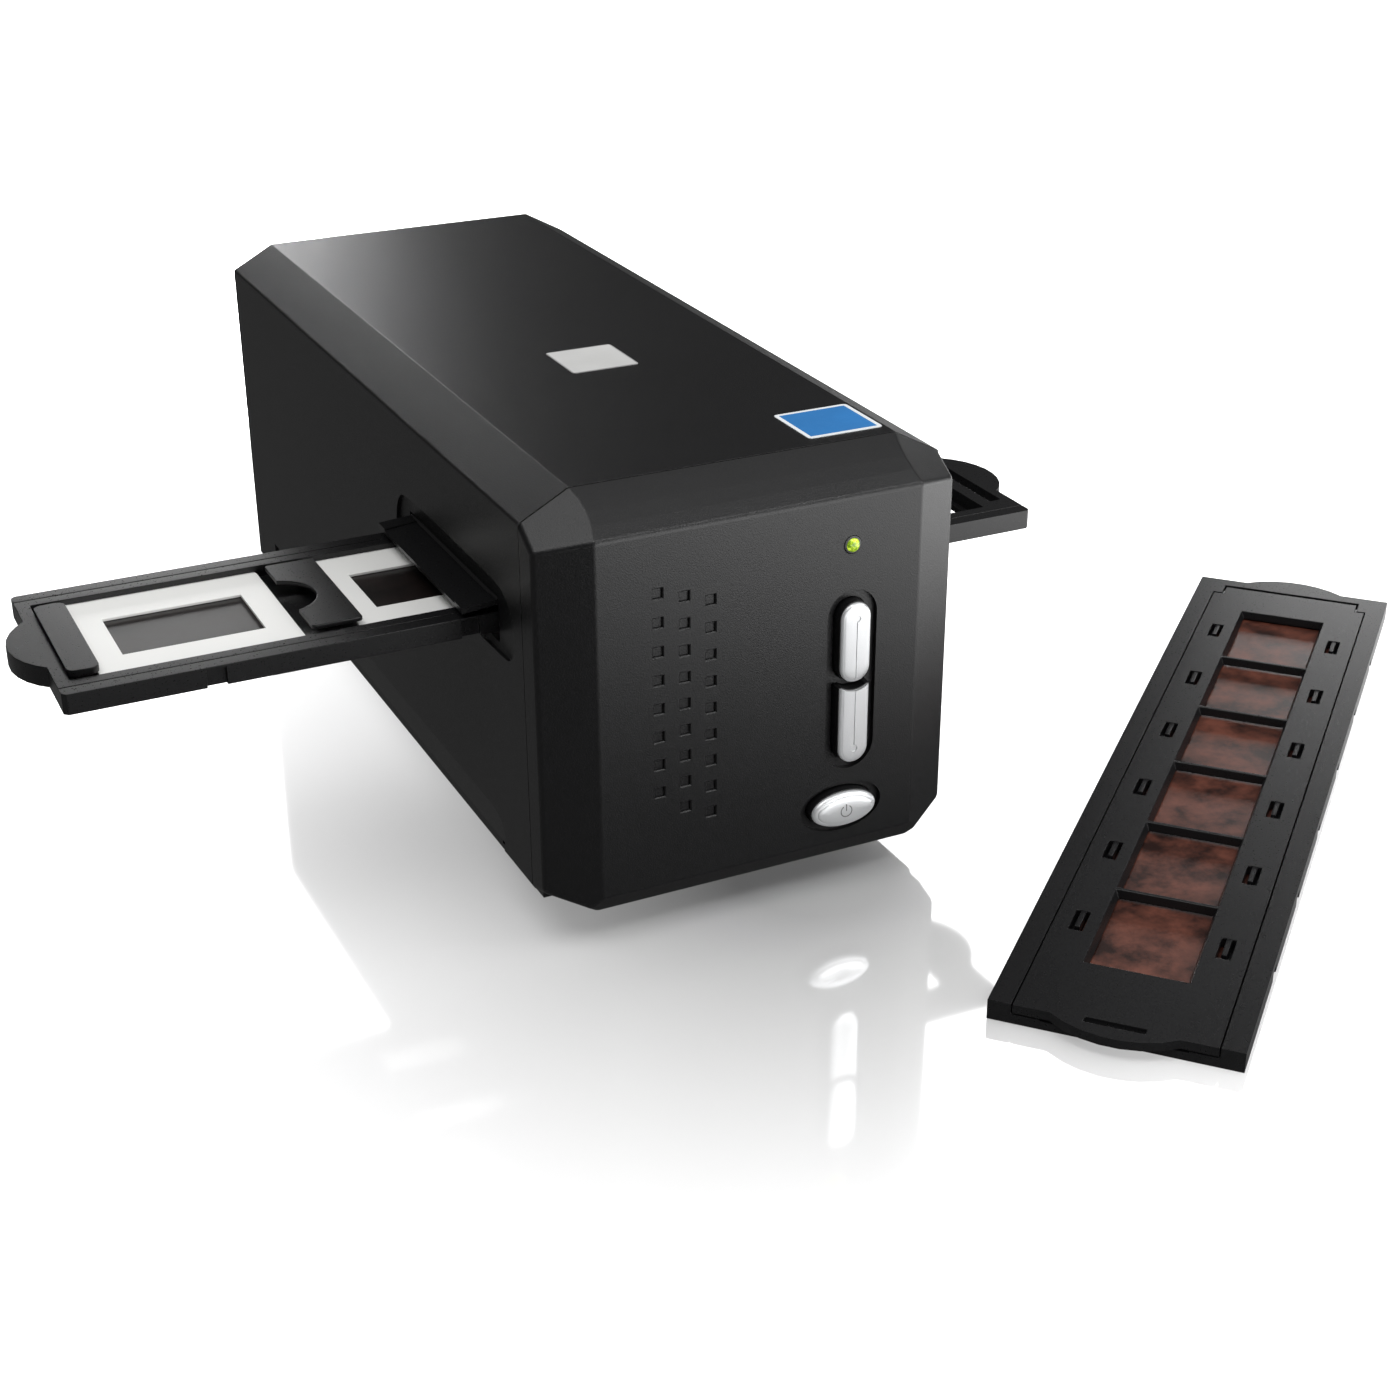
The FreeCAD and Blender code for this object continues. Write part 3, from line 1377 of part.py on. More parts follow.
nodes = [
    upper_case, front_bezel, rear_panel, base_pan, rubber_feet, case_screws, chassis_screws,
    film_deck, click_spring,
    chassis_frame, guide_rods, scan_motor, lead_screw, carriage_frame, carriage_bushes, screw_nut,
    fold_mirror, lens_barrel, lens_glass, lens_clamp, sensor_board, line_sensor, lamp_bridge,
    lamp_diffuser, lamp_board, lamp_leds, main_board, usb_socket, power_socket, board_parts,
    panel_board, tact_switches, status_led, upper_scan_button, lower_scan_button, power_button,
    slot_flap_left, slot_flap_right, flap_pins, top_label_pale, top_label_blue, slide_tray,
    slide_bars, slide_end_pad, slide_mounts, slide_films, strip_base, strip_pins, strip_film,
    strip_cover,
]

os.makedirs("parts", exist_ok=True)
for node in nodes:
    save(node.__name__, node())
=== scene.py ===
import json
import math

import bmesh
import bpy
from mathutils import Matrix, Vector


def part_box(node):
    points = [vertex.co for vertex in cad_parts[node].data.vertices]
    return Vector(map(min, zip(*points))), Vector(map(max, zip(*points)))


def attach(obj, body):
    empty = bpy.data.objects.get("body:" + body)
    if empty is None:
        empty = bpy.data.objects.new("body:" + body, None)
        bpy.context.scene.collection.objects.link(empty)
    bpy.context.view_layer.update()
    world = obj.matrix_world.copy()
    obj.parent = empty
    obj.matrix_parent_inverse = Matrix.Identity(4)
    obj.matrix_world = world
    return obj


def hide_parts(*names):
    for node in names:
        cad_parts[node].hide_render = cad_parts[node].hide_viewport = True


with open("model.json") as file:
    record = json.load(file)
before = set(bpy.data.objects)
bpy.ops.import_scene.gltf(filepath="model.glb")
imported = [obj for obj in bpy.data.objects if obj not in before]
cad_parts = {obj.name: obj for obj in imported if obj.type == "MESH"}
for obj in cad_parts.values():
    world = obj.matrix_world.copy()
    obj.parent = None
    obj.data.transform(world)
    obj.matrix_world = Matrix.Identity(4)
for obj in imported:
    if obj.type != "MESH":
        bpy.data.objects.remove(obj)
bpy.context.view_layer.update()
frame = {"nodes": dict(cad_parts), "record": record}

nodes = frame["nodes"]

# Lengths are in millimetres, with Y counted from the seam behind the bezel as in the part's source
unit = 0.001
foot_y = 14.0
nose_d = 14.5
face_y = -nose_d
wall = 2.5
seam_gap = 0.3
fit_gap = 0.15

# Scan keys, one over the other in one well
well_x = 25.0
well_z0 = 35.31
well_w = 14.0
well_h = 49.6
well_d = 1.4
key_w = 8.8
key_front = 2.4
key_back = -10.7
key_gap = 0.3
key_rim = 0.8
key_dome = 0.2
key_face_t = 0.2
face_in = 0.25
upper_z0 = 60.3
upper_z1 = 82.3
lower_z0 = 37.7
lower_z1 = 59.4
nest_r = 6.3
lip_t = 1.0
lip_out = 1.2
stem_r = 1.6
stem_end = -8.1
groove_w = 0.22
groove_d = 0.3
dimple_r = 0.95
dimple_d = 0.22
dome_reach_share = 0.48

# Power key and its mark
power_x = 23.1
power_z = 24.6
power_w = 18.9
power_h = 10.2
power_well_w = 23.4
power_well_h = 13.9
power_rim = 1.2
power_dome = 0.7
mark_r = 1.7
mark_t = 0.26
mark_lift = 0.02
mark_gap_share = 0.09
mark_top_share = 1.15

# Status lamp
led_x = 24.51
led_z = 96.9
led_r = 2.3
led_dome = 0.9
led_proud = 0.3
lens_r = 1.75
lens_gap = 0.055
lamp_end = -4.0

# Upper case
half_w = 57.0
case_l = 246.0
case_top = 118.5
shoulder_w = 13.0
shoulder_h = 7.0
skirt_z = 13.5
belly_z = 9.5
belly_in = 3.0
edge_round = 1.0

# Slot mouths with the scoops round them, and finger grips
hold_y = 52.8
mouth_in = 1.9
mouth_deep = 6.6
mouth_w = 65.0
mouth_z = 72.61
mouth_h = 12.1
scoop_w = 87.6
scoop_h = 19.5
scoop_y = 4.8
scoop_z = 71.21
scoop_step = 0.9
grip_y = 18.0
grip_l = 208.0
grip_top = 24.2
grip_step = 0.8
grip_d = 2.1
pad_z = 17.4

# Bezel
nose_drop = 9.0
nose_bulge = 0.7
nose_round = 2.0
cheek_d = 7.75
face_w = 87.666
chin_d = 2.5
chin_z = 14.5
chin_rise = 2.5
chin_run = 13.0
tongue_l = 3.0
tongue_t = 1.2
tongue_z = 20.5
dot = 2.6
dot_rim = 0.25
dot_d = 0.8
dot_x = 28.0

# Borders of the two labels
pale_border = 0.4
blue_border = 1.1

# How far the rings of a dome go, steps in curves, and the reach of welds and cuts
dome_share = 0.97
dome_steps = 8
ring_steps = 96
arc_steps = 24
bite_steps = 16
nose_steps = 4
round_steps = 5
mark_steps = 40
weld_gap = 0.01
weld_reach = 0.001
cut_reach = 0.00001

# Angles in degrees: smooth shading up to, edges rounded from, and faces taken as one below
smooth_angle = 32
soft_angle = 40
flat_angle = 1
hull_angle = 0.5

# Depth of the relief in the materials, and the bounds between which noise mostly lies
grain_depth = 0.2
line_depth = 0.1
film_depth = 0.4
low_share = 0.3
high_share = 0.7

# Light levels, white being 1, and where the table's painted glow and its painted white start and are full,
# in metres
fill_light = 0.22
gloss_light = 0.06
# Painted glow of the table seen by the camera: dim near the object, white further off
floor_dim = 0.08
floor_light = 1.0
fade_place = (0.02, -0.02, 0.0)
fade_start = 0.02
fade_full = 0.24
# Painted levels of the table seen in gloss: shade near the object, light toward the right front
shade_light = 0.13
glow_light = 3.8
glow_start = 0.13
glow_full = 0.3
glow_way = (0.8, -0.6, 0.0)

# The table, in metres: half its side, the rows of its mesh, and how far it lies under the feet
floor_half = 4.0
floor_rows = 8
floor_drop = 0.0002

# The camera, solved from the picture: sensor and lens in millimetres, the rest in metres
sensor = 36.0
focal = 58.29
clip_near = 0.01
clip_far = 50.0
camera_place = (-0.230704, -0.471947, 0.304767)
camera_right = (0.900872, -0.43406, -0.004532)
camera_down = (-0.193815, -0.392869, -0.898938)
camera_forward = (0.388413, 0.810707, -0.438052)

# Lamps, in metres: name, place, aim, size and radiance
lamps = [
    ("back_light", (0.27, 2.05, 0.42), (0.0, 0.1, 0.1), (0.45, 0.3), 12.0),
    ("side_light", (1.3, -0.5, 0.9), (0.0, 0.0, 0.06), (0.7, 0.7), 4.0),
    ("front_light", (0.75, -1.4, 0.45), (0.0, 0.0, 0.08), (0.9, 0.7), 5.0),
    ("top_light", (0.6, 0.2, 1.5), (0.0, 0.1, 0.0), (1.0, 1.0), 0.75),
    ("right_back_light", (1.6, 1.35, 0.45), (0.15, 0.0, 0.0), (0.45, 0.3), 8.0),
    ("edge_light", (0.4, -0.75, 1.25), (0.05, 0.0, 0.05), (1.2, 0.12), 12.0),
    ("left_light", (-0.5, -0.2, 1.4), (-0.1, 0.05, 0.0), (1.0, 1.0), 3.2),
]
backdrop_lamp = ("backdrop_light", (1.2, 3.7, 2.6), (1.2, 0.0, 2.6), (9.0, 5.2), 2.6)


def at(x, y, z):
    """A point of the part's source, in metres in the shared frame."""
    return Vector((x * unit, (y - foot_y) * unit, z * unit))


# Materials


def new_material(name):
    mat = bpy.data.materials.new(name)
    mat.use_nodes = True
    return mat, mat.node_tree, mat.node_tree.nodes["Principled BSDF"]


def feed(tree, value, socket):
    """Link a value to a socket, or set the socket where the value is a number."""
    if isinstance(value, float):
        socket.default_value = value
    else:
        tree.links.new(value, socket)


def calculate(tree, operation, value, other=0.0):
    """One step of arithmetic on a value, with another value or a number where it takes two."""
    node = tree.nodes.new("ShaderNodeMath")
    node.operation = operation
    feed(tree, value, node.inputs[0])
    feed(tree, other, node.inputs[1])
    return node.outputs[0]


def noise(tree, scale, detail=2.0, rough=0.5):
    """Noise over the object's own coordinates, so it rides with the piece."""
    place = tree.nodes.new("ShaderNodeTexCoord")
    tex = tree.nodes.new("ShaderNodeTexNoise")
    tex.inputs["Scale"].default_value = scale
    tex.inputs["Detail"].default_value = detail
    tex.inputs["Roughness"].default_value = rough
    tree.links.new(place.outputs["Object"], tex.inputs["Vector"])
    return tex.outputs["Fac"]


def ramp(tree, value, color_low, color_high, low=low_share, high=high_share):
    node = tree.nodes.new("ShaderNodeValToRGB")
    node.color_ramp.elements[0].position = low
    node.color_ramp.elements[1].position = high
    node.color_ramp.elements[0].color = (*color_low, 1)
    node.color_ramp.elements[1].color = (*color_high, 1)
    tree.links.new(value, node.inputs["Fac"])
    return node.outputs["Color"]


def spread(tree, value, low, high):
    node = tree.nodes.new("ShaderNodeMapRange")
    node.inputs["From Min"].default_value = low_share
    node.inputs["From Max"].default_value = high_share
    node.inputs["To Min"].default_value = low
    node.inputs["To Max"].default_value = high
    tree.links.new(value, node.inputs["Value"])
    return node.outputs["Result"]


def bump(tree, bsdf, height, strength, depth):
    node = tree.nodes.new("ShaderNodeBump")
    node.inputs["Strength"].default_value = strength
    node.inputs["Distance"].default_value = depth * unit
    tree.links.new(height, node.inputs["Height"])
    tree.links.new(node.outputs["Normal"], bsdf.inputs["Normal"])


def tint(color, gain):
    return tuple(min(1.0, c * gain) for c in color)


def grained(name, color, rough, grain, strength, vary=0.12, metal=0.0, specular=0.5):
    """Moulded or painted surface: fine grain in the bump, slow drift in colour and roughness."""
    mat, tree, bsdf = new_material(name)
    bsdf.inputs["Metallic"].default_value = metal
    bsdf.inputs["Specular IOR Level"].default_value = specular
    drift = noise(tree, 22.0)
    surface = ramp(tree, drift, tint(color, 1 - vary), tint(color, 1 + vary))
    tree.links.new(surface, bsdf.inputs["Base Color"])
    fine = noise(tree, grain, 3.0, 0.6)
    tree.links.new(spread(tree, fine, rough * 0.88, rough * 1.12), bsdf.inputs["Roughness"])
    bump(tree, bsdf, fine, strength, grain_depth)
    return mat


def brushed(name, color, rough, metal=1.0):
    """Metal with fine lines along one axis."""
    mat, tree, bsdf = new_material(name)
    bsdf.inputs["Metallic"].default_value = metal
    place = tree.nodes.new("ShaderNodeTexCoord")
    stretch = tree.nodes.new("ShaderNodeMapping")
    stretch.inputs["Scale"].default_value = (60.0, 4000.0, 4000.0)
    tree.links.new(place.outputs["Object"], stretch.inputs["Vector"])
    tex = tree.nodes.new("ShaderNodeTexNoise")
    tex.inputs["Scale"].default_value = 1.0
    tree.links.new(stretch.outputs["Vector"], tex.inputs["Vector"])
    lines = tex.outputs["Fac"]
    surface = ramp(tree, lines, tint(color, 0.86), tint(color, 1.08))
    tree.links.new(surface, bsdf.inputs["Base Color"])
    tree.links.new(spread(tree, lines, rough * 0.8, rough * 1.25), bsdf.inputs["Roughness"])
    bump(tree, bsdf, lines, 0.1, line_depth)
    return mat


def label_field(tree, name, border_w):
    """One over a label's field, and zero over the border inside its outline."""
    low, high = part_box(name)
    place = tree.nodes.new("ShaderNodeTexCoord")
    parts = tree.nodes.new("ShaderNodeSeparateXYZ")
    tree.links.new(place.outputs["Object"], parts.inputs["Vector"])
    inside = 1.0
    for axis in (0, 1):
        middle = (low[axis] + high[axis]) / 2
        reach = (high[axis] - low[axis]) / 2 - border_w * unit
        away = calculate(tree, "ABSOLUTE", calculate(tree, "SUBTRACT", parts.outputs[axis], middle))
        inside = calculate(tree, "MULTIPLY", calculate(tree, "LESS_THAN", away, reach), inside)
    return inside


def printed_label(name, node, color, border, border_w):
    """A blank label: its field, and a border as wide as border_w inside its own outline."""
    mat, tree, bsdf = new_material(name)
    field = ramp(tree, noise(tree, 60.0), tint(color, 0.93), tint(color, 1.07))
    mix = tree.nodes.new("ShaderNodeMix")
    mix.data_type = "RGBA"
    tree.links.new(label_field(tree, node, border_w), mix.inputs["Factor"])
    mix.inputs["A"].default_value = (*border, 1)
    tree.links.new(field, mix.inputs["B"])
    tree.links.new(mix.outputs["Result"], bsdf.inputs["Base Color"])
    fine = noise(tree, 900.0)
    tree.links.new(spread(tree, fine, 0.3, 0.42), bsdf.inputs["Roughness"])
    bump(tree, bsdf, fine, 0.05, line_depth)
    return mat


def film_material(name, dark, light, alpha, scale):
    """Developed film: mottled dye in a glossy translucent base."""
    mat, tree, bsdf = new_material(name)
    mottle = noise(tree, scale, 5.0, 0.65)
    tree.links.new(ramp(tree, mottle, dark, light, 0.36, 0.66), bsdf.inputs["Base Color"])
    tree.links.new(spread(tree, mottle, 0.3, 0.4), bsdf.inputs["Roughness"])
    bsdf.inputs["Alpha"].default_value = alpha
    bsdf.inputs["Coat Weight"].default_value = 0.2
    bsdf.inputs["Coat Roughness"].default_value = 0.2
    bump(tree, bsdf, noise(tree, 40.0), 0.02, film_depth)
    return mat


def lamp_material(name, core, edge, strength, scale):
    """A lit diode: its resin, brighter in cells."""
    mat, tree, bsdf = new_material(name)
    cells = ramp(tree, noise(tree, scale, 3.0, 0.7), edge, core, 0.42, 0.58)
    tree.links.new(cells, bsdf.inputs["Base Color"])
    tree.links.new(cells, bsdf.inputs["Emission Color"])
    bsdf.inputs["Emission Strength"].default_value = strength
    bsdf.inputs["Roughness"].default_value = 0.12
    return mat


def board_material(name):
    """Green solder mask with tracks under it."""
    mat, tree, bsdf = new_material(name)
    place = tree.nodes.new("ShaderNodeTexCoord")
    tracks = tree.nodes.new("ShaderNodeTexBrick")
    tracks.inputs["Scale"].default_value = 160.0
    tracks.inputs["Color1"].default_value = (0.02, 0.16, 0.07, 1)
    tracks.inputs["Color2"].default_value = (0.025, 0.2, 0.09, 1)
    tracks.inputs["Mortar"].default_value = (0.06, 0.3, 0.14, 1)
    tracks.inputs["Mortar Size"].default_value = 0.03
    tree.links.new(place.outputs["Object"], tracks.inputs["Vector"])
    tree.links.new(tracks.outputs["Color"], bsdf.inputs["Base Color"])
    fine = noise(tree, 700.0)
    tree.links.new(spread(tree, fine, 0.28, 0.4), bsdf.inputs["Roughness"])
    bump(tree, bsdf, tracks.outputs["Fac"], 0.2, line_depth)
    return mat


def glass_material(name):
    mat, tree, bsdf = new_material(name)
    clear = ramp(tree, noise(tree, 30.0), (0.78, 0.86, 0.95), (0.85, 0.9, 1.0))
    tree.links.new(clear, bsdf.inputs["Base Color"])
    bsdf.inputs["Transmission Weight"].default_value = 0.9
    bsdf.inputs["Roughness"].default_value = 0.03
    bsdf.inputs["Coat Weight"].default_value = 0.5
    return mat


materials = {
    "case_black": grained("case_black", (0.0055, 0.0055, 0.006), 0.37, 2600.0, 0.3, specular=0.42),
    "holder_black": grained("holder_black", (0.007, 0.007, 0.0075), 0.3, 1800.0, 0.02, specular=0.4),
    "inner_black": grained("inner_black", (0.03, 0.03, 0.032), 0.5, 1500.0, 0.12),
    "rubber_black": grained("rubber_black", (0.02, 0.02, 0.02), 0.75, 1200.0, 0.3),
    "steel": brushed("steel", (0.6, 0.61, 0.63), 0.3),
    "lens_alloy": grained("lens_alloy", (0.09, 0.09, 0.1), 0.35, 900.0, 0.1, metal=0.9),
    "bronze": brushed("bronze", (0.5, 0.34, 0.16), 0.35),
    "opal": grained("opal", (0.85, 0.85, 0.82), 0.45, 800.0, 0.05, vary=0.03),
    "board_green": board_material("board_green"),
    "led_white": lamp_material("led_white", (1.0, 0.97, 0.8), (0.9, 0.8, 0.4), 0.4, 900.0),
    "chip_black": grained("chip_black", (0.02, 0.02, 0.022), 0.4, 1600.0, 0.15),
    "led_green": lamp_material("led_green", (0.6, 0.8, 0.06), (0.1, 0.2, 0.005), 0.6, 520.0),
    "label_pale": printed_label(
        "label_pale", "top_label_pale", (0.62, 0.62, 0.61), (0.35, 0.35, 0.35), pale_border,
    ),
    "label_blue": printed_label(
        "label_blue", "top_label_blue", (0.03, 0.2, 0.52), (0.85, 0.88, 0.9), blue_border,
    ),
    "nut_white": grained("nut_white", (0.75, 0.74, 0.7), 0.4, 900.0, 0.08, vary=0.04),
    "mirror_silver": brushed("mirror_silver", (0.85, 0.87, 0.88), 0.04),
    "lens_glass": glass_material("lens_glass"),
    "key_silver": grained("key_silver", (0.72, 0.73, 0.74), 0.34, 3000.0, 0.1, vary=0.05, metal=0.55),
    "key_mark": grained("key_mark", (0.12, 0.12, 0.12), 0.5, 3000.0, 0.1),
    "mount_white": grained("mount_white", (0.82, 0.82, 0.8), 0.45, 1500.0, 0.08, vary=0.03),
    "film_slide": film_material("film_slide", (0.003, 0.002, 0.002), (0.012, 0.007, 0.006), 1.0, 90.0),
    "film_strip": film_material("film_strip", (0.02, 0.007, 0.005), (0.15, 0.048, 0.03), 0.95, 110.0),
}

slots = {row["node"]: row["material_slot"] for row in frame["record"]["subparts"]}

# Flat-sided nodes and the size of their edge rounding
soft_edges = {
    "slide_tray": 0.35, "slide_bars": 0.3, "slide_end_pad": 0.3, "slide_mounts": 0.15,
    "strip_base": 0.35, "strip_cover": 0.3, "rear_panel": 0.4, "rubber_feet": 0.5,
}


# Shading


def edge_tools():
    """A node group that shades smooth up to an angle."""
    tree = bpy.data.node_groups.new("smooth_by_angle", "GeometryNodeTree")
    tree.interface.new_socket("Geometry", in_out="INPUT", socket_type="NodeSocketGeometry")
    tree.interface.new_socket("Geometry", in_out="OUTPUT", socket_type="NodeSocketGeometry")
    start = tree.nodes.new("NodeGroupInput")
    end = tree.nodes.new("NodeGroupOutput")
    angle = tree.nodes.new("GeometryNodeInputMeshEdgeAngle")
    flat = tree.nodes.new("FunctionNodeCompare")
    flat.operation = "LESS_THAN"
    flat.inputs[1].default_value = math.radians(smooth_angle)
    tree.links.new(angle.outputs[0], flat.inputs[0])
    faces = tree.nodes.new("GeometryNodeSetShadeSmooth")
    faces.domain = "FACE"
    edges = tree.nodes.new("GeometryNodeSetShadeSmooth")
    edges.domain = "EDGE"
    tree.links.new(start.outputs[0], faces.inputs[0])
    tree.links.new(faces.outputs[0], edges.inputs[0])
    tree.links.new(flat.outputs[0], edges.inputs["Shade Smooth"])
    tree.links.new(edges.outputs[0], end.inputs[0])
    return tree


smooth_tool = edge_tools()


def weld(obj):
    """Join the points that lie together, so that faces share their corners."""
    tool = obj.modifiers.new("weld", "WELD")
    tool.merge_threshold = weld_gap * unit


def shade(obj):
    """Weld, shade smooth except at sharp edges, and keep the flat faces flat."""
    weld(obj)
    smooth = obj.modifiers.new("smooth", "NODES")
    smooth.node_group = smooth_tool
    normals = obj.modifiers.new("normals", "WEIGHTED_NORMAL")
    normals.weight = 100
    normals.keep_sharp = True


def soften(obj, size):
    """Round the edges of a flat-sided node a little, so that they catch the light."""
    weld(obj)
    flat = obj.modifiers.new("flat", "DECIMATE")
    flat.decimate_type = "DISSOLVE"
    flat.angle_limit = math.radians(flat_angle)
    bevel = obj.modifiers.new("soft", "BEVEL")
    bevel.width = size * unit
    bevel.segments = 2
    bevel.limit_method = "ANGLE"
    bevel.angle_limit = math.radians(soft_angle)


def dress():
    for name, obj in nodes.items():
        mesh = obj.data
        mesh.materials.clear()
        mesh.materials.append(materials[slots[name]])
        if name in soft_edges:
            soften(obj, soft_edges[name])
        shade(obj)


# Detailed pieces


def add_piece(name, mesh, slot, body, replaced=()):
    """A piece of the visual model on its body."""
    obj = bpy.data.objects.new(name, mesh)
    bpy.context.scene.collection.objects.link(obj)
    mesh.materials.clear()
    mesh.materials.append(materials[slot])
    shade(obj)
    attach(obj, body)
    if replaced:
        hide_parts(*replaced)


def resample(points, count):
    """Even steps along a closed outline, so that outlines of any shape can be skinned."""
    closed = points + [points[0]]
    lengths = [0.0]
    for a, b in zip(closed, closed[1:]):
        lengths.append(lengths[-1] + math.dist(a, b))
    ring = []
    k = 0
    for i in range(count):
        want = lengths[-1] * i / count
        while lengths[k + 1] < want:
            k += 1
        share = (want - lengths[k]) / (lengths[k + 1] - lengths[k])
        ring.append(tuple(p + (q - p) * share for p, q in zip(closed[k], closed[k + 1])))
    return ring


def evenly(first, last, steps):
    """Numbers from first to last in even steps."""
    return [first + (last - first) * i / steps for i in range(steps + 1)]


def arc(cx, cz, rx, rz, angles):
    """Points of an oval at the given angles, seen from the front."""
    return [(cx + rx * math.cos(t), cz + rz * math.sin(t)) for t in angles]


def oval(cx, cz, rx, rz):
    return arc(cx, cz, rx, rz, evenly(0, math.tau, ring_steps)[:-1])


def capsule(cx, z0, z1, w):
    r = w / 2
    half = ring_steps // 2
    top = arc(cx, z1 - r, r, r, evenly(0, math.pi, half))
    low = arc(cx, z0 + r, r, r, evenly(math.pi, math.tau, half))
    return resample(top + low, ring_steps)


def mesh_from(bm, name):
    mesh = bpy.data.meshes.new(name)
    bm.to_mesh(mesh)
    bm.free()
    return mesh


def loft(name, rings):
    """A closed mesh through rings of points in millimetres."""
    bm = bmesh.new()
    loops = [[bm.verts.new(at(*point)) for point in ring] for ring in rings]
    for a, b in zip(loops, loops[1:]):
        for i in range(len(a)):
            j = (i + 1) % len(a)
            bm.faces.new((a[i], a[j], b[j], b[i]))
    bm.faces.new(loops[0])
    bm.faces.new(loops[-1])
    bmesh.ops.recalc_face_normals(bm, faces=bm.faces)
    return mesh_from(bm, name)


def skin(name, rings):
    """A closed mesh through rings, each one (y, outline)."""
    return loft(name, [[(x, y, z) for x, z in outline] for y, outline in rings])


def prism(name, outline, y0, y1):
    return skin(name, [(y0, outline), (y1, outline)])


def key_face(name, outline, rim, dome, reach):
    """The silver face: a rounded rim and a shallow dome; outline(d) is the key's outline shrunk by d."""
    front = face_y - key_front
    rings = [(front + rim + key_face_t, outline(face_in)), (front + rim, outline(face_in))]
    quarter = evenly(0, math.pi / 2, dome_steps)[1:]
    for turn in quarter:
        rings.append((front + rim - rim * math.sin(turn), outline(face_in + rim * (1 - math.cos(turn)))))
    for turn in quarter:
        shrink = face_in + rim + (reach - rim - face_in) * (1 - math.cos(turn))
        rings.append((front - dome * math.sin(turn), outline(shrink)))
    return skin(name, rings)


def key_body(name, outline, rim):
    """The dark body under the face."""
    front = face_y - key_front + rim
    edge = face_in / 2
    return skin(name, [(key_back, outline(0)), (front + edge, outline(0)), (front, outline(edge))])


def key_back_steps(lip, centre):
    """The retaining lip behind the face, and the stem."""
    stem = oval(*centre, stem_r, stem_r)
    lip_mesh = prism("lip", lip, key_back - lip_t, key_back)
    return [("UNION", lip_mesh), ("UNION", prism("stem", stem, key_back - lip_t, stem_end))]


def spare_object(name, mesh):
    obj = bpy.data.objects.new(name, mesh)
    bpy.context.scene.collection.objects.link(obj)
    return obj


def carve(mesh, steps):
    """Join to and cut from one mesh in turn, and return the result."""
    obj = spare_object("carving", mesh)
    tools = []
    for operation, tool_mesh in steps:
        tools.append(spare_object("tool", tool_mesh))
        cut = obj.modifiers.new("cut", "BOOLEAN")
        cut.operation = operation
        cut.solver = "EXACT"
        cut.object = tools[-1]
    bpy.context.view_layer.update()
    done = bpy.data.meshes.new_from_object(obj.evaluated_get(bpy.context.evaluated_depsgraph_get()))
    for spare in [obj] + tools:
        bpy.data.objects.remove(spare)
    return done


def flipped(points):
    return [(-x, y, z) for x, y, z in points]


def both_sides(name, rings):
    return [loft(name, rings), loft(name, [flipped(ring) for ring in rings])]


def trim(bm, planes):
    """Cut away what lies outside each plane, a point and an outward direction, and close the cut."""
    for point, way in planes:
        shape = bm.verts[:] + bm.edges[:] + bm.faces[:]
        cut = bmesh.ops.bisect_plane(
            bm, geom=shape, dist=cut_reach * unit,
            plane_co=at(*point), plane_no=Vector(way).normalized(), clear_outer=True,
        )
        rim = [e for e in cut["geom_cut"] if isinstance(e, bmesh.types.BMEdge)]
        bmesh.ops.edgeloop_fill(bm, edges=rim)
    bmesh.ops.recalc_face_normals(bm, faces=bm.faces)


def cut_block(planes):
    """What is left of a large block inside all the planes."""
    bm = bmesh.new()
    bmesh.ops.create_cube(bm, size=1)
    trim(bm, planes)
    bm.normal_update()
    return bm


def moved_in(planes, d):
    """The same planes, each one d further in."""
    return [(Vector(point) - Vector(way).normalized() * d, way) for point, way in planes]


def rounded(planes, size, ends, name):
    """The form inside the planes with each edge rounded, cut square at its ends."""
    core = cut_block(moved_in(planes, size))
    bm = bmesh.new()
    for corner in core.verts:
        ways = [face.normal for face in corner.link_faces]
        for edge in corner.link_edges:
            a, b = [face.normal for face in edge.link_faces]
            ways += [a.slerp(b, i / round_steps) for i in range(1, round_steps)]
        for way in ways:
            bm.verts.new(corner.co + way * size * unit)
    core.free()
    bmesh.ops.convex_hull(bm, input=bm.verts)
    bmesh.ops.delete(bm, geom=[v for v in bm.verts if not v.link_faces], context="VERTS")
    bmesh.ops.remove_doubles(bm, verts=bm.verts, dist=weld_reach * unit)
    trim(bm, ends)
    bmesh.ops.dissolve_limit(bm, angle_limit=math.radians(hull_angle), verts=bm.verts, edges=bm.edges)
    return mesh_from(bm, name)


def inset(points, d):
    """A convex outline moved inward by d on every side."""
    area = sum(a[0] * b[1] - b[0] * a[1] for a, b in zip(points, points[1:] + points[:1]))
    side = 1 if area > 0 else -1
    lines = []
    for a, b in zip(points, points[1:] + points[:1]):
        long = math.dist(a, b)
        u = ((b[0] - a[0]) / long, (b[1] - a[1]) / long)
        lines.append(((a[0] - side * u[1] * d, a[1] + side * u[0] * d), u))
    ring = []
    for (p, u), (q, v) in zip(lines[-1:] + lines[:-1], lines):
        cross = u[0] * v[1] - u[1] * v[0]
        t = ((q[0] - p[0]) * v[1] - (q[1] - p[1]) * v[0]) / cross
        ring.append((p[0] + u[0] * t, p[1] + u[1] * t))
    return ring


def case_outline(low):
    return [
        (-half_w, low), (-half_w, case_top - shoulder_h), (-half_w + shoulder_w, case_top),
        (half_w - shoulder_w, case_top), (half_w, case_top - shoulder_h), (half_w, low),
    ]


def open_outline(ring, low):
    """An outline of the case with its two lowest corners moved to one height."""
    return [(ring[0][0], low)] + ring[1:-1] + [(ring[-1][0], low)]


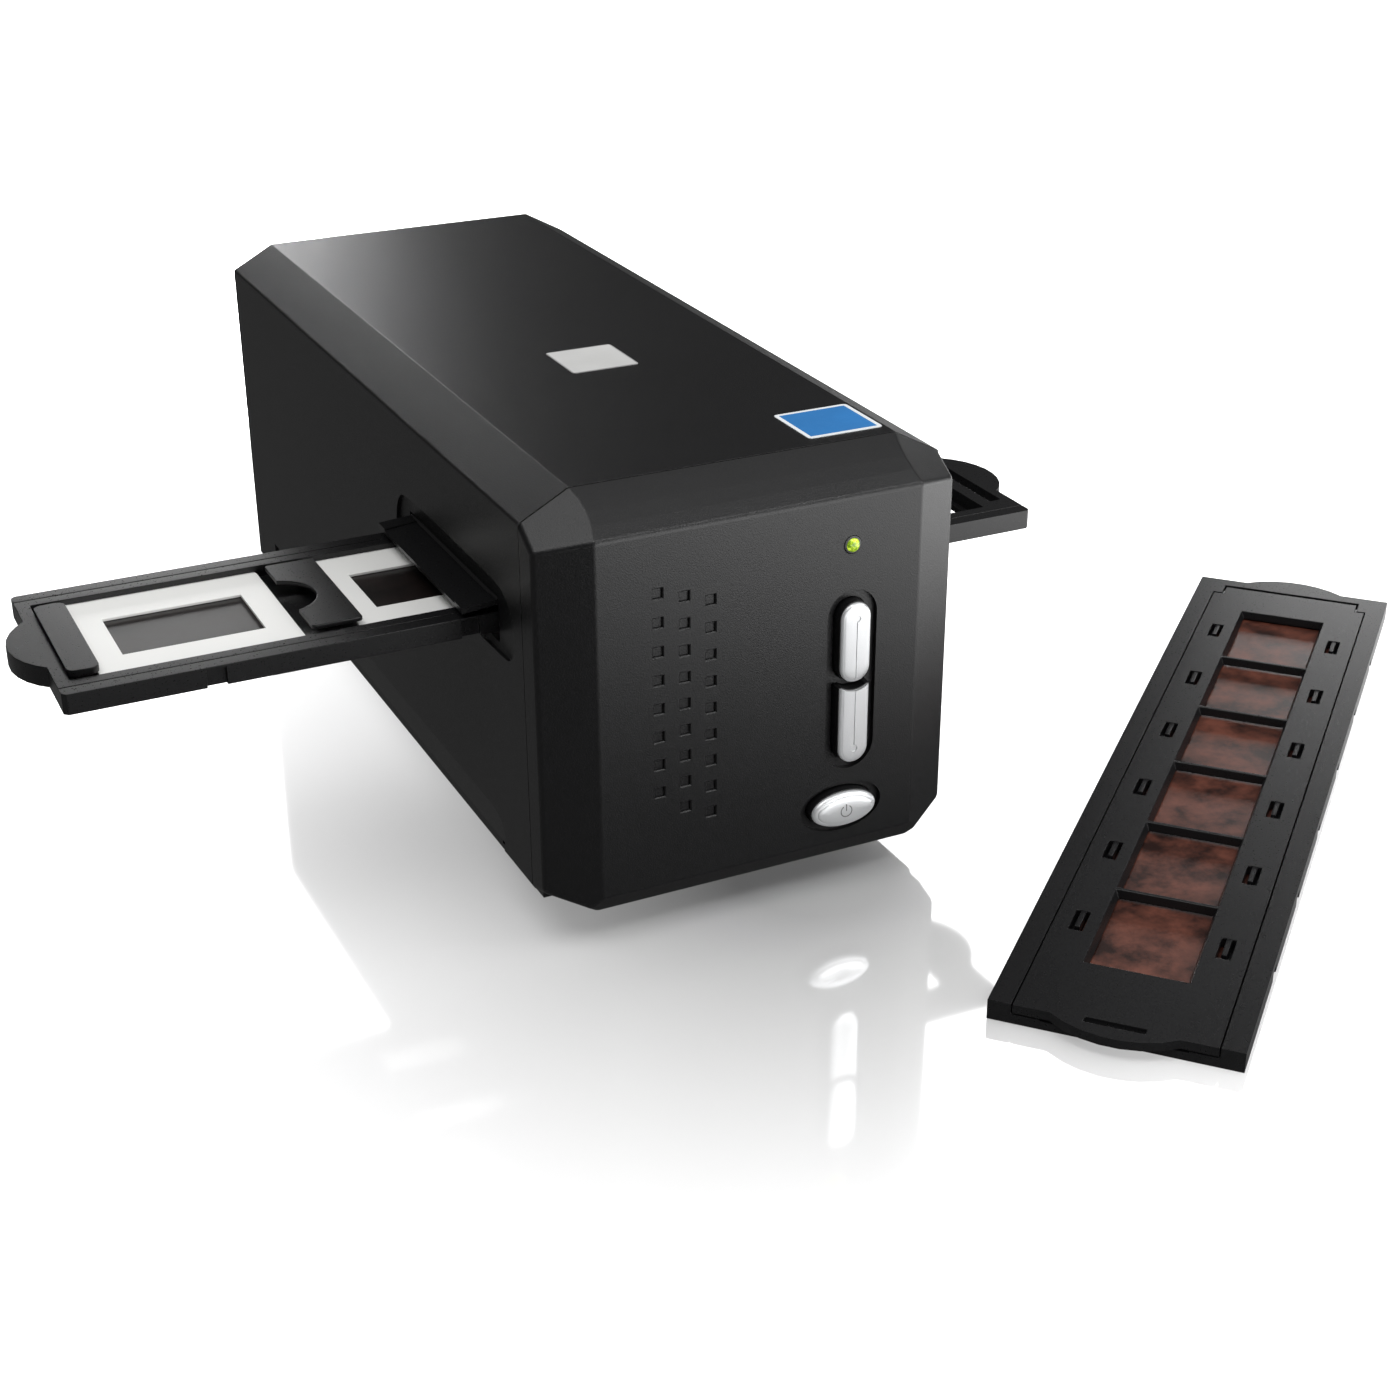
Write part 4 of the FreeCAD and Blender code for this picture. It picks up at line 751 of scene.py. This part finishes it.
def relaxed(points):
    """Corner cutting, twice, to make a flowing outline from a few points."""
    for _ in range(2):
        cut = []
        for a, b in zip(points, points[1:] + points[:1]):
            for share in (0.25, 0.75):
                cut.append(tuple(p + (q - p) * share for p, q in zip(a, b)))
        points = cut
    return points


def scoop_rings():
    """The funnel round a slot mouth, from a small step in the wall to the mouth."""
    outer_shares = [
        (0.122, 1.0), (0.90, 1.0), (0.967, 0.84), (1.0, 0.47), (0.978, 0.14), (0.927, 0.0),
        (0.082, 0.0), (0.031, 0.10), (0.0, 0.36), (0.009, 0.59), (0.039, 0.79), (0.076, 0.93),
    ]
    inner_shares = [
        (0.03, 1.0), (0.97, 1.0), (0.99, 0.96), (1.0, 0.80), (1.0, 0.20), (0.985, 0.0),
        (0.015, 0.0), (0.004, 0.08), (0.0, 0.40), (0.0, 0.80), (0.006, 0.93), (0.015, 0.98),
    ]
    mouth_y = hold_y - mouth_w / 2
    outer = relaxed([(scoop_y + scoop_w * a, scoop_z + scoop_h * b) for a, b in outer_shares])
    inner = relaxed([(mouth_y + mouth_w * a, mouth_z + mouth_h * b) for a, b in inner_shares])
    places = ((-half_w - wall, outer), (-half_w + scoop_step, outer), (-half_w + mouth_in, inner))
    return [[(x, y, z) for y, z in ring] for x, ring in places]


def box_rings(x0, x1, y0, y1, z0, z1):
    outline = [(y0, z0), (y1, z0), (y1, z1), (y0, z1)]
    return [[(x, y, z) for y, z in outline] for x in (x0, x1)]


def grip_outline(extra):
    shares = [(0.0, 0.55), (0.007, 0.82), (0.037, 1.0), (1.0, 1.0), (1.0, -0.4), (0.012, -0.4)]
    high = grip_top - skirt_z
    return inset([(grip_y + grip_l * a, skirt_z + high * b) for a, b in shares], -extra)


def grip_rings():
    """The cut of one finger grip: its floor deepens toward the underside."""
    ring = grip_outline(0)
    slope = (grip_d - grip_step) / (grip_top - skirt_z)
    floor_ring = [(-half_w + grip_step + slope * (grip_top - z), y, z) for y, z in ring]
    return [[(-half_w - wall, y, z) for y, z in ring], floor_ring]


def case_planes():
    """The planes that bound the case, longer at both ends than the case is."""
    planes = [((0, -nose_d, 0), (0, -1, 0)), ((0, case_l + nose_d, 0), (0, 1, 0))]
    planes += [((0, 0, skirt_z), (0, 0, -1)), ((0, 0, case_top), (0, 0, 1))]
    for side in (-1, 1):
        planes.append(((side * half_w, 0, 0), (side, 0, 0)))
        corner = (side * (half_w - shoulder_w), 0, case_top)
        planes.append((corner, (side * shoulder_h, 0, shoulder_w)))
    return planes


def case_side_steps():
    """Pads behind the scoops and grips, and the cuts of scoop, mouth and grip, on both sides."""
    mouth_y = hold_y - mouth_w / 2
    pad = box_rings(
        -half_w + wall / 2, -half_w + mouth_deep, scoop_y - seam_gap, scoop_y + scoop_w + seam_gap,
        scoop_z - wall, scoop_z + scoop_h + wall,
    )
    low_pad = [
        [(x, y, max(z, pad_z)) for y, z in grip_outline(wall)]
        for x in (-half_w + wall / 2, -half_w + wall + grip_d)
    ]
    mouth = box_rings(
        -half_w - wall, -half_w + mouth_deep + wall, mouth_y, mouth_y + mouth_w, mouth_z, mouth_z + mouth_h,
    )
    forms = (
        ("pad", "UNION", pad),
        ("low_pad", "UNION", low_pad),
        ("scoop", "DIFFERENCE", scoop_rings()),
        ("mouth", "DIFFERENCE", mouth),
        ("grip", "DIFFERENCE", grip_rings()),
    )
    return [(operation, mesh) for name, operation, rings in forms for mesh in both_sides(name, rings)]


def case_shell():
    """The upper case: a shell with rounded edges and its cuts."""
    ends = [((0, 0, 0), (0, -1, 0)), ((0, case_l, 0), (0, 1, 0))]
    outer = rounded(case_planes(), edge_round, ends, "upper_case_shell")
    hollow = open_outline(inset(case_outline(skirt_z), wall), belly_z)
    steps = [("DIFFERENCE", prism("hollow", hollow, -wall, case_l + wall))]
    steps += case_side_steps()
    add_piece("case_cover", carve(outer, steps), "case_black", "housing", ("upper_case",))


def slope_planes():
    """The softly bulged slope over the face, as planes from top to front."""
    profile = []
    for share in evenly(0, 1, nose_steps):
        rise = 4 * nose_bulge * share * (1 - share)
        profile.append((-nose_d * share, case_top - nose_drop * share + rise))
    return [((0, *a), (0, b[1] - a[1], a[0] - b[0])) for a, b in zip(profile, profile[1:])]


def nose_planes(d):
    """The planes that bound the bezel, moved inward by d."""
    flats = [((0, -nose_d, 0), (0, -1, 0)), ((0, 0, belly_z), (0, 0, -1))]
    flats += slope_planes()
    flats.append(((0, -nose_d, chin_z), (0, belly_z - chin_z, -chin_d)))
    fall = nose_drop / nose_d
    rise = shoulder_h / shoulder_w
    slope_y = chin_rise / cheek_d
    slope_x = (skirt_z - belly_z + slope_y * (nose_d - chin_d)) / chin_run
    for side in (-1, 1):
        flats += [
            ((side * half_w, 0, skirt_z), (side, 0, 0)),
            ((side * half_w, 0, skirt_z), (side * (skirt_z - belly_z), 0, -belly_in)),
            ((side * face_w / 2, -nose_d, 0), (side * (nose_d - cheek_d), face_w / 2 - half_w, 0)),
            ((side * (half_w - shoulder_w), 0, case_top), (side * rise, -fall, 1)),
            ((side * half_w, 0, skirt_z), (side * slope_x, -slope_y, -1)),
        ]
    return moved_in(flats, d)


def lower_key_outline(grow):
    """The lower scan key from the front: round below, hollow above."""
    r = key_w / 2 + grow
    low = arc(well_x, lower_z0 - grow + r, r, r, evenly(-math.pi, 0, arc_steps))
    reach = nest_r - grow
    centre = upper_z0 + key_w / 2
    top = lower_z1 + grow
    lift = math.asin(min(1, (centre - top) / reach))
    bite = arc(well_x, centre, reach, reach, evenly(-lift, -math.pi + lift, bite_steps))
    return low + [(well_x + r, top)] + bite + [(well_x - r, top)]


def dot_places():
    """Centres of the small square recesses: column place, first and last height, count."""
    column_shares = [(1.0, 0.792, 0.343, 8), (0.75, 0.775, 0.296, 9), (0.5, 0.756, 0.27, 9)]
    places = []
    for across, first, last, count in column_shares:
        for share in evenly(first, last, count - 1):
            places.append((-dot_x * across, case_top * share))
    return places


def square_outline(x, z, r):
    return [(x - r, z - r), (x + r, z - r), (x + r, z + r), (x - r, z + r)]


def dot_rings(x, z):
    """The cut of one square recess, a little wider at its rim."""
    wide = dot / 2 + dot_rim
    steps = ((-wall, wide), (0, wide), (dot_rim, dot / 2), (dot_d, dot / 2))
    return [(-nose_d + depth, square_outline(x, z, r)) for depth, r in steps]


def tongue_outline(thick, low):
    return open_outline(inset(case_outline(skirt_z), thick), low)


def bezel_shell():
    """The front bezel: a rounded shell with its tongue, recesses, wells and openings."""
    back = ((0, nose_d, 0), (0, 1, 0))
    seam = ((0, -seam_gap, 0), (0, 1, 0))
    outer = rounded(nose_planes(0) + [back], nose_round, [seam], "bezel_shell")
    inner = mesh_from(cut_block(nose_planes(wall) + [back]), "bezel_hollow")
    steps = [("DIFFERENCE", inner)]
    for thick, y0, y1 in ((wall - tongue_t / 2, -wall, -seam_gap), (wall + fit_gap, -wall, tongue_l)):
        steps.append(("UNION", prism("tongue", tongue_outline(thick, tongue_z), y0, y1)))
    hole = tongue_outline(wall + fit_gap + tongue_t, skirt_z)
    steps.append(("DIFFERENCE", prism("tongue_hole", hole, -wall - seam_gap, tongue_l + wall)))
    steps += [("DIFFERENCE", skin("dot", dot_rings(x, z))) for x, z in dot_places()]
    openings = [
        (capsule(well_x, well_z0, well_z0 + well_h, well_w), -nose_d + well_d),
        (oval(power_x, power_z, power_well_w / 2, power_well_h / 2), -nose_d + well_d),
        (capsule(well_x, upper_z0 - key_gap, upper_z1 + key_gap, key_w + 2 * key_gap), 0),
        (lower_key_outline(key_gap), 0),
        (oval(power_x, power_z, power_w / 2 + key_gap, power_h / 2 + key_gap), 0),
        (oval(led_x, led_z, led_r + fit_gap, led_r + fit_gap), 0),
    ]
    for outline, end in openings:
        steps.append(("DIFFERENCE", prism("opening", outline, -nose_d - wall, end)))
    add_piece("bezel_face", carve(outer, steps), "case_black", "housing", ("front_bezel",))


def key_grooves(dimple_z, line_z0, line_z1):
    """Cutters for the finger dimple and for the fine line that runs from it."""
    front = face_y - key_front - key_dome
    x0, x1 = well_x - groove_w / 2, well_x + groove_w / 2
    line = [(x0, line_z0), (x1, line_z0), (x1, line_z1), (x0, line_z1)]
    ring = oval(well_x, dimple_z, dimple_r, dimple_r)
    return [
        ("DIFFERENCE", prism("line", line, front - wall, front + groove_d)),
        ("DIFFERENCE", prism("dimple", ring, front - wall, front + dimple_d)),
    ]


def upper_key():
    """A rounded bar with a silver face."""
    def outline(d):
        return capsule(well_x, upper_z0 + d, upper_z1 - d, key_w - 2 * d)

    lip = capsule(well_x, upper_z0 + key_gap, upper_z1 + lip_out, key_w + 2 * lip_out)
    steps = key_back_steps(lip, (well_x, (upper_z0 + upper_z1) / 2))
    body = carve(key_body("upper_key_body", outline, key_rim), steps)
    add_piece("upper_key_body", body, "case_black", "upper_key", ("upper_scan_button",))
    steps = key_grooves(upper_z1 - key_w / 2, upper_z0 - wall, upper_z1 - key_w / 2 - dimple_r)
    face = carve(key_face("upper_key_face", outline, key_rim, key_dome, key_w * dome_reach_share), steps)
    add_piece("upper_key_face", face, "key_silver", "upper_key")


def lower_key():
    """Nested under the upper key: the same rounded bar, hollowed at its upper end."""
    def outline(d):
        return capsule(well_x, lower_z0 + d, lower_z1 + key_w - d, key_w - 2 * d)

    def nest_steps(d):
        """What the upper key's round end takes away, d more than for the body."""
        low, high = lower_z1 - d, case_top
        x0, x1 = well_x - key_w, well_x + key_w
        roof = [(x0, low), (x1, low), (x1, high), (x0, high)]
        hollow = oval(well_x, upper_z0 + key_w / 2, nest_r + d, nest_r + d)
        front = face_y - 2 * key_front
        return [("DIFFERENCE", prism("nest", ring, front, stem_end)) for ring in (roof, hollow)]

    lip = capsule(well_x, lower_z0 - lip_out, lower_z1 - key_w, key_w + 2 * lip_out)
    middle = (lower_z0 + lower_z1 - key_w / 2) / 2
    steps = nest_steps(0) + key_back_steps(lip, (well_x, middle))
    body = carve(key_body("lower_key_body", outline, key_rim), steps)
    add_piece("lower_key_body", body, "case_black", "lower_key", ("lower_scan_button",))
    dimple_z = lower_z0 + key_w / 2
    steps = nest_steps(face_in) + key_grooves(dimple_z, dimple_z + dimple_r, lower_z1 + wall)
    face = carve(key_face("lower_key_face", outline, key_rim, key_dome, key_w * dome_reach_share), steps)
    add_piece("lower_key_face", face, "key_silver", "lower_key")


def mark_strip(bm, pairs):
    """A thin closed strip that follows pairs of points, from just over the dome to inside it."""
    front = face_y - key_front - power_dome
    depths = (front - mark_lift, front + power_dome)
    rows = [[bm.verts.new(at(x, y, z)) for x, z in pair for y in depths] for pair in pairs]
    for a, b in zip(rows, rows[1:]):
        for i, j in ((0, 2), (2, 3), (3, 1), (1, 0)):
            bm.faces.new((a[i], a[j], b[j], b[i]))
    for row in (rows[0], rows[-1]):
        bm.faces.new((row[0], row[2], row[3], row[1]))


def power_mark():
    """The generic mark: an open ring and a short bar through its gap."""
    bm = bmesh.new()
    ring = []
    opening = math.tau * mark_gap_share
    for turn in evenly(opening, math.tau - opening, mark_steps):
        x, z = math.sin(turn), math.cos(turn)
        ring.append([(power_x + r * x, power_z + r * z) for r in (mark_r, mark_r - mark_t)])
    mark_strip(bm, ring)
    sides = (power_x - mark_t / 2, power_x + mark_t / 2)
    mark_strip(bm, [[(x, power_z + mark_r * share) for x in sides] for share in (0, mark_top_share)])
    bmesh.ops.recalc_face_normals(bm, faces=bm.faces)
    return mesh_from(bm, "power_mark")


def power_key():
    """A domed oval key with the generic power mark lying on its dome."""
    half_x, half_z = power_w / 2, power_h / 2

    def outline(d):
        return oval(power_x, power_z, half_x - d, half_z - d)

    lip = oval(power_x, power_z, half_x + lip_out, half_z + lip_out)
    body = carve(key_body("power_key_body", outline, power_rim), key_back_steps(lip, (power_x, power_z)))
    add_piece("power_key_body", body, "case_black", "power_key", ("power_button",))
    face = key_face("power_key_face", outline, power_rim, power_dome, half_z * dome_share)
    add_piece("power_key_face", face, "key_silver", "power_key")
    add_piece("power_mark", power_mark(), "key_mark", "power_key")


def status_lamp():
    """A clear lens in a dark ring."""
    sides = oval(led_x, led_z, lens_r, lens_r)
    front = face_y - led_proud
    rings = [(lamp_end, sides), (front, sides)]
    for turn in evenly(0, math.pi / 2 * dome_share, dome_steps)[1:]:
        r = lens_r * math.cos(turn)
        rings.append((front - led_dome * math.sin(turn), oval(led_x, led_z, r, r)))
    add_piece("lamp_lens", skin("lamp_lens", rings), "led_green", "housing", ("status_led",))
    rim = oval(led_x, led_z, led_r, led_r)
    slope_r = lens_r + (led_r - lens_r) / 3
    slope = oval(led_x, led_z, slope_r, slope_r)
    body = skin("lamp_ring", [(lamp_end, rim), (face_y - led_proud / 2, rim), (face_y - led_proud, slope)])
    hole = oval(led_x, led_z, lens_r + lens_gap, lens_r + lens_gap)
    body = carve(body, [("DIFFERENCE", prism("hole", hole, face_y - wall, 0))])
    add_piece("lamp_ring", body, "chip_black", "housing")


# Studio


def camera():
    data = bpy.data.cameras.new("photo_camera")
    data.sensor_width = sensor
    data.lens = focal
    data.clip_start = clip_near
    data.clip_end = clip_far
    cam = bpy.data.objects.new("photo_camera", data)
    bpy.context.scene.collection.objects.link(cam)
    columns = (Vector(camera_right), -Vector(camera_down), -Vector(camera_forward), Vector(camera_place))
    rows = [tuple(column[i] for column in columns) for i in range(3)]
    cam.matrix_world = Matrix((*rows, (0, 0, 0, 1)))
    bpy.context.scene.camera = cam


def lamp(name, place, aim, size, radiance):
    data = bpy.data.lights.new(name, "AREA")
    data.shape = "RECTANGLE"
    data.size, data.size_y = size
    data.energy = radiance * math.pi * size[0] * size[1]
    obj = bpy.data.objects.new(name, data)
    bpy.context.scene.collection.objects.link(obj)
    obj.location = place
    obj.rotation_euler = (Vector(aim) - Vector(place)).to_track_quat("-Z", "Y").to_euler()
    return obj


def by_ray(tree, plain, camera_level, gloss_level):
    """One level for plain rays, one for what the camera sees, one for gloss and glass."""
    path = tree.nodes.new("ShaderNodeLightPath")
    total = plain
    for kind, level in (
        ("Is Camera Ray", camera_level),
        ("Is Glossy Ray", gloss_level),
        ("Is Transmission Ray", gloss_level),
    ):
        mix = tree.nodes.new("ShaderNodeMix")
        tree.links.new(path.outputs[kind], mix.inputs[0])
        feed(tree, total, mix.inputs[2])
        feed(tree, level, mix.inputs[3])
        total = mix.outputs[0]
    return total


def backdrop():
    world = bpy.data.worlds.new("studio")
    bpy.context.scene.world = world
    world.use_nodes = True
    tree = world.node_tree
    back = tree.nodes["Background"]
    back.inputs["Color"].default_value = (1, 1, 1, 1)
    tree.links.new(by_ray(tree, fill_light, 1.0, gloss_light), back.inputs["Strength"])


def studio():
    for row in lamps:
        lamp(*row)
    bpy.context.scene.view_settings.view_transform = "Standard"


def rising(tree, value, start, full, low, high, kind="LINEAR"):
    """A level that rises from low to high between two values."""
    rise = tree.nodes.new("ShaderNodeMapRange")
    rise.interpolation_type = kind
    for name, number in (("From Min", start), ("From Max", full), ("To Min", low), ("To Max", high)):
        rise.inputs[name].default_value = number
    tree.links.new(value, rise.inputs["Value"])
    return rise.outputs["Result"]


def on_table(tree, operation, vector):
    """A measure of the place on the table: its distance from a point, or how far it lies along a way."""
    place = tree.nodes.new("ShaderNodeTexCoord")
    measure = tree.nodes.new("ShaderNodeVectorMath")
    measure.operation = operation
    measure.inputs[1].default_value = vector
    tree.links.new(place.outputs["Object"], measure.inputs[0])
    return measure.outputs["Value"]


def painted_table_glow(tree):
    """What gloss sees of the table: painted light, a glow brighter toward the right front, over painted
    shade nearer the object.
    """
    along = on_table(tree, "DOT_PRODUCT", glow_way)
    return rising(tree, along, glow_start, glow_full, shade_light, glow_light, "SMOOTHSTEP")


def painted_table_fade(tree):
    """What the camera sees of the table: a painted glow, whiter with distance, so that its reflections
    fade.
    """
    away = on_table(tree, "DISTANCE", fade_place)
    return rising(tree, away, fade_start, fade_full, floor_dim, floor_light)


def floor_material():
    """A pale gloss table with a painted glow for the camera; gloss sees only its painted light and shade.
    """
    mat, tree, bsdf = new_material("floor_white")
    drift = ramp(tree, noise(tree, 3.0), (0.54, 0.54, 0.545), (0.56, 0.56, 0.56))
    tree.links.new(drift, bsdf.inputs["Base Color"])
    bsdf.inputs["Roughness"].default_value = 0.06
    bsdf.inputs["Metallic"].default_value = 0.6
    bsdf.inputs["Emission Color"].default_value = (1, 1, 1, 1)
    # Painted glow seen by the camera: dim near the object, white further off
    tree.links.new(by_ray(tree, 0.0, painted_table_fade(tree), 0.0), bsdf.inputs["Emission Strength"])
    # Painted light and shade seen only in gloss: bright toward the right front, dim near the object
    glow = tree.nodes.new("ShaderNodeEmission")
    tree.links.new(painted_table_glow(tree), glow.inputs["Strength"])
    mix = tree.nodes.new("ShaderNodeMixShader")
    tree.links.new(by_ray(tree, 0.0, 0.0, 1.0), mix.inputs["Fac"])
    tree.links.new(bsdf.outputs[0], mix.inputs[1])
    tree.links.new(glow.outputs[0], mix.inputs[2])
    tree.links.new(mix.outputs[0], tree.nodes["Material Output"].inputs["Surface"])
    return mat


def floor():
    """The table, and a panel behind it that lights the table alone."""
    bm = bmesh.new()
    bmesh.ops.create_grid(bm, x_segments=floor_rows, y_segments=floor_rows, size=floor_half)
    mesh = mesh_from(bm, "floor")
    mesh.materials.append(floor_material())
    obj = bpy.data.objects.new("floor", mesh)
    bpy.context.scene.collection.objects.link(obj)
    obj.location.z = -floor_drop
    table = bpy.data.collections.new("table_only")
    table.objects.link(obj)
    lamp(*backdrop_lamp).light_linking.receiver_collection = table


camera()
dress()
case_shell()
bezel_shell()
upper_key()
lower_key()
power_key()
status_lamp()
backdrop()
studio()
floor()
